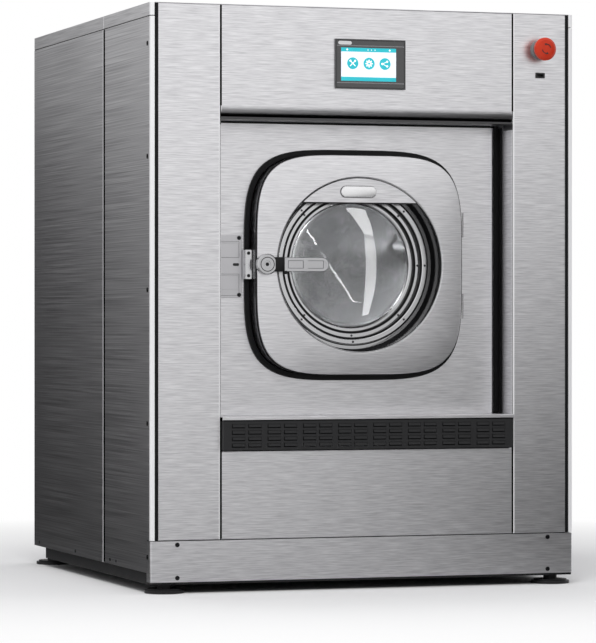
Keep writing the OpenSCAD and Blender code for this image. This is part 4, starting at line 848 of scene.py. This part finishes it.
# Ring screws: eight small black socket heads sunk in each of the two clamping rings.
ring_screws = bmesh.new()
for ring_r, face in ((0.2073, -0.5183), (0.1903, -0.5063)):
    for number in range(8):
        angle = math.radians(45 * number)
        screw_x = axis.x + ring_r * math.sin(angle)
        screw_z = axis.z + ring_r * math.cos(angle)
        turned(ring_screws, [
            (0.0, face + 0.0002), (0.0013, face + 0.0002), (0.0013, face - 0.0006),
            (0.0026, face - 0.0006), (0.0029, face - 0.0002), (0.0029, face + 0.0022),
            (0.0, face + 0.0022)], screw_x, screw_z, 16)
new_piece("ring_screws", ring_screws, black_screw, "door")

# Door glass: a clear bowl of borosilicate glass, clamped at its rim between rubber seals. It
# bulges into the drum, so that no laundry hangs in the boot.
clear_glass, shader, place = new_material(
    "clear_glass", Transmission_Weight=1.0, Roughness=0.0, IOR=1.46)
haze = place.noise(5.0, 3.0)
feed(shader, Base_Color=haze.blended((0.93, 0.95, 0.955), (0.97, 0.98, 0.98)))
tree = clear_glass.node_tree
lamp_ray = place.node("LightPath", output="Is Shadow Ray")
see_through = place.node("BsdfTransparent", sockets={"Color": (0.93, 0.95, 0.95, 1.0)})
body_of_glass = Wire(tree, shader.outputs[0])
passed = place.node("MixShader", sockets={0: lamp_ray, 1: body_of_glass, 2: see_through})
tree.links.new(passed.socket, tree.nodes["Material Output"].inputs["Surface"])
glass_low, glass_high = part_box("door_glass")
thick = 0.008
bowl_r = min(round(math.hypot(vert.co.x - axis.x, vert.co.z - axis.z), 5)
             for vert in nodes["door_glass"].data.vertices if vert.co.y < glass_low[1] + 1e-5)
bowl_depth = glass_high[1] - glass_low[1] - thick
brim_r = (glass_high[0] - glass_low[0]) / 2
profile = [(brim_r, glass_low[1])]
for step in range(37):
    angle = math.radians(90 * step / 36)
    profile.append((bowl_r * math.cos(angle), glass_low[1] + bowl_depth * math.sin(angle)))
for step in range(36, -1, -1):
    angle = math.radians(90 * step / 36)
    profile.append(((bowl_r + thick) * math.cos(angle),
                    glass_low[1] + thick + bowl_depth * math.sin(angle)))
profile += [(brim_r, glass_low[1] + thick), profile[0]]
bowl = bmesh.new()
turned(bowl, profile, axis.x, axis.z, 144)
bmesh.ops.dissolve_degenerate(bowl, dist=1e-6, edges=bowl.edges)
bmesh.ops.recalc_face_normals(bowl, faces=bowl.faces)
bowl_data = bpy.data.meshes.new("door_glass_blown")
bowl.to_mesh(bowl_data)
bowl.free()
finished(bowl_data, clear_glass)
blown = placed("door_glass_blown", bowl_data)
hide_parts("door_glass")
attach(blown, "door")

# Handle: a polished cast hub with a hexagon socket, and a flat lever with two sunk fields. A black
# plastic collar joins them, with a small stop under it. Black lines round the hub, round the two
# fields and round the lever are painted shade at their edges.
handle_steel = ground("handle_steel", (0.56, 0.56, 0.575), 0.20)
softened("handle_hub", 0.0007, "handle", handle_steel)
dress(handle_steel, "handle_lever")
collar_black = coated("collar_black", (0.004, 0.004, 0.0045), 0.4, 800.0, 0.0001, shine=0.25)
collar = bmesh.new()
bar(collar, (-0.2488, -0.5968, 0.8476), (-0.2222, -0.5806, 0.8864), round_edge=0.0016)
turned(collar, [(0.0, -0.5956), (0.0036, -0.5956), (0.0052, -0.5942), (0.0052, -0.5832),
                (0.0036, -0.5818), (0.0, -0.5818)], -0.2185, 0.846, 32)
hub_x, lever_z, hub_face, lever_face = -0.2705, 0.867, -0.596, -0.595
ring_near, ring_far, socket_r = 0.0176, 0.0196, 0.0052
# A black ring round the hub's disc: painted shade at its rim.
turned(collar, [(ring_near, hub_face + 0.0004), (ring_near, hub_face - 0.0002),
                (ring_far, hub_face - 0.0002), (ring_far, hub_face + 0.0004),
                (ring_near, hub_face + 0.0004)], hub_x, lever_z, 64)
turned(collar, [(0.0, hub_face + 0.0014), (socket_r, hub_face + 0.0014),
                (socket_r, hub_face + 0.0024), (0.0, hub_face + 0.0024)], hub_x, lever_z, 6)
# Black lines round the two fields and round the lever: painted shade at their edges.
field_z, field_half = (0.8570, 0.8770), 0.0005
line_front, line_rear = lever_face + 0.0009, lever_face + 0.0013
for low, high in ((-0.2120, -0.1700), (-0.1574, -0.1130)):
    for edge in (low, high):
        bar(collar, (edge - field_half, line_front, field_z[0]),
            (edge + field_half, line_rear, field_z[1]))
    for edge in field_z:
        bar(collar, (low, line_front, edge - field_half),
            (high, line_rear, edge + field_half))
pill_line(collar, -0.17275, lever_z, 0.0181, 0.05625, 0.0009, lever_face - 0.0003)
new_piece("lever_collar_and_shade_lines", collar, collar_black, "handle")

# Studio: a pale floor that runs out into a white backdrop, and soft lamps above and inside. Only
# the metal sees the grey flags, in front, behind at the left and high at the right, and only the
# glass sees the two bright windows.
floor_mesh = bmesh.new()
bmesh.ops.create_grid(floor_mesh, x_segments=1, y_segments=1, size=30.0)
floor_data = bpy.data.meshes.new("floor")
floor_mesh.to_mesh(floor_data)
floor_mesh.free()
floor = placed("floor", floor_data)
floor_paint, shader, place = new_material(
    "floor_paint", Roughness=0.8, Specular_IOR_Level=0.0)
feed(shader, Base_Color=place.noise(0.6).blended((0.90, 0.90, 0.90), (0.93, 0.93, 0.93)))
floor_data.materials.append(floor_paint)


def shown(tree):
    """White where the camera, gloss or glass looks, and a plain grey light elsewhere."""
    path = tree.nodes.new("ShaderNodeLightPath")
    seen = Wire(tree, path.outputs["Is Camera Ray"]) + Wire(tree, path.outputs["Is Glossy Ray"])
    seen = (seen + Wire(tree, path.outputs["Is Transmission Ray"])).maths("MINIMUM", 1.0)
    return seen.blended((0.42, 0.42, 0.43), (1.0, 1.0, 1.0))


x, y, z = place.parts()
away = (x * x + y * y).maths("SQRT")
fade = ((away - 1.1) * 0.6).clamped()
tree = floor_paint.node_tree
far = place.node("Emission", sockets={"Color": shown(tree)})
ground_level = place.node("MixShader", sockets={
    0: fade, 1: Wire(tree, shader.outputs[0]), 2: far})
tree.links.new(ground_level.socket, tree.nodes["Material Output"].inputs["Surface"])

world = bpy.data.worlds.new("studio")
bpy.context.scene.world = world
world.use_nodes = True
sky = world.node_tree.nodes["Background"]
world.node_tree.links.new(shown(world.node_tree).socket, sky.inputs["Color"])


def card(name, bm, material):
    """Stages a sheet that gloss alone can see, and that casts no shadow."""
    data = bpy.data.meshes.new(name)
    bm.to_mesh(data)
    bm.free()
    data.materials.append(material)
    made = placed(name, data)
    made.visible_camera = made.visible_diffuse = made.visible_shadow = False
    made.visible_transmission = made.visible_volume_scatter = False


def flag(name, foot, wide, cover):
    """A grey cloth on a stand, with its foot on the floor. Cover says how dense it is where."""
    bm = bmesh.new()
    corners = [bm.verts.new(corner) for corner in (
        foot[0], foot[1], foot[1] + Vector((0, 0, 2.6)), foot[0] + Vector((0, 0, 2.6)))]
    bm.faces.new(corners)
    apron = [corners[1], corners[0], bm.verts.new(foot[0] + wide), bm.verts.new(foot[1] + wide)]
    bm.faces.new(apron)
    cloth, shader, place = new_material(name + "_cloth", Roughness=1.0, Specular_IOR_Level=0.0)
    x, y, z = place.parts()
    feed(shader, Base_Color=place.noise(3.0).blended((0.004, 0.004, 0.004), (0.006, 0.006, 0.006)),
         Alpha=cover(x, y, z).clamped())
    card(name, bm, cloth)


flag("flag_front", (Vector((-2.2, -3.2, 0.004)), Vector((3.4, -3.2, 0.004))),
     Vector((0, 2.54, 0)),
     lambda x, y, z: (0.26 + 0.27 * (x * x.maths("MAXIMUM", 0.0)))
     * (1.00 - 0.60 * z + 0.5 * z.maths("LESS_THAN", 0.16) + 0.5 * z.maths("LESS_THAN", 0.02)))
flag("flag_side", (Vector((-4.5, 2.1, 0.004)), Vector((-0.65, 2.1, 0.004))), Vector((0, -2.8, 0)),
     lambda x, y, z: (1.55 + 0.42 * x) * (1.50 - 0.50 * z))


def mirrored(name, one_edge, other_edge, strength):
    """A white ribbon that shows only in clear glass, as the windows of the studio do."""
    bm = bmesh.new()
    sides = [[bm.verts.new(point) for point in edge] for edge in (one_edge, other_edge)]
    for step in range(len(one_edge) - 1):
        bm.faces.new((sides[0][step], sides[0][step + 1], sides[1][step + 1], sides[1][step]))
    pane, _, place = new_material(name + "_card")
    tree = pane.node_tree
    path = tree.nodes.new("ShaderNodeLightPath")
    sharp = Wire(tree, path.outputs["Is Singular Ray"])
    sharp = sharp * Wire(tree, path.outputs["Is Reflection Ray"])
    glow = place.node("Emission", sockets={
        "Color": place.noise(2.0).blended((0.94, 0.95, 0.96), (1.0, 1.0, 1.0)),
        "Strength": strength})
    clear = place.node("BsdfTransparent")
    both = place.node("MixShader", sockets={0: sharp, 1: clear, 2: glow})
    tree.links.new(both.socket, tree.nodes["Material Output"].inputs["Surface"])
    card(name, bm, pane)


strip_line = ((-0.7, 0.008), (-3.3, 0.008), (-3.3, 1.75), (-3.0, 3.6))
mirrored("window_strip", [(0.05, y, z) for y, z in strip_line],
         [(0.42, y, z) for y, z in strip_line], 14.0)
edge_line = ((1.72, -0.91, 0.01), (2.29, -2.79, 0.01), (2.06, -3.3, 0.35), (1.62, -3.3, 0.70),
             (1.41, -3.3, 0.91), (1.23, -3.3, 1.12), (1.07, -3.3, 1.32), (0.92, -3.3, 1.60),
             (0.81, -3.3, 1.94), (0.55, -3.3, 2.05))
mirrored("window_edge", edge_line, [(x + 0.04, y, z + 0.03) for x, y, z in edge_line], 24.0)
flag("flag_high", (Vector((2.5, -3.22, 0.0)), Vector((4.8, -3.22, 0.0))), Vector((0, 0.001, 0)),
     lambda x, y, z: z.maths("GREATER_THAN", 1.0))


def lamp(name, place, aim, size, power, gloss=False):
    """A soft square lamp that points at a spot, and may show in the metal."""
    data = bpy.data.lights.new(name, "AREA")
    data.size = size
    data.energy = power
    made = placed(name, data)
    made.location = place
    made.rotation_euler = (Vector(aim) - Vector(place)).to_track_quat("-Z", "Y").to_euler()
    made.visible_camera = made.visible_transmission = False
    made.visible_glossy = gloss


lamp("key", (-1.6, -4.2, 3.4), (-0.2, -0.6, 1.0), 2.2, 110.0)
lamp("top", (0.0, 0.2, 4.0), (0.0, 0.0, 1.0), 2.6, 60.0)
lamp("drum", (-0.12, -0.34, 1.22), (0.12, 0.12, 0.72), 0.16, 5.0, gloss=True)

camera_data = bpy.data.cameras.new("camera")
camera_data.lens = 190.95
camera_data.sensor_width = 36.0
camera_data.clip_end = 100.0
camera = placed("camera", camera_data)
camera.location = (-3.0923, -9.1987, 0.715)
camera.rotation_euler = (math.radians(90), 0.0, math.radians(-18.67))
bpy.context.scene.camera = camera
bpy.context.scene.view_settings.view_transform = "Standard"
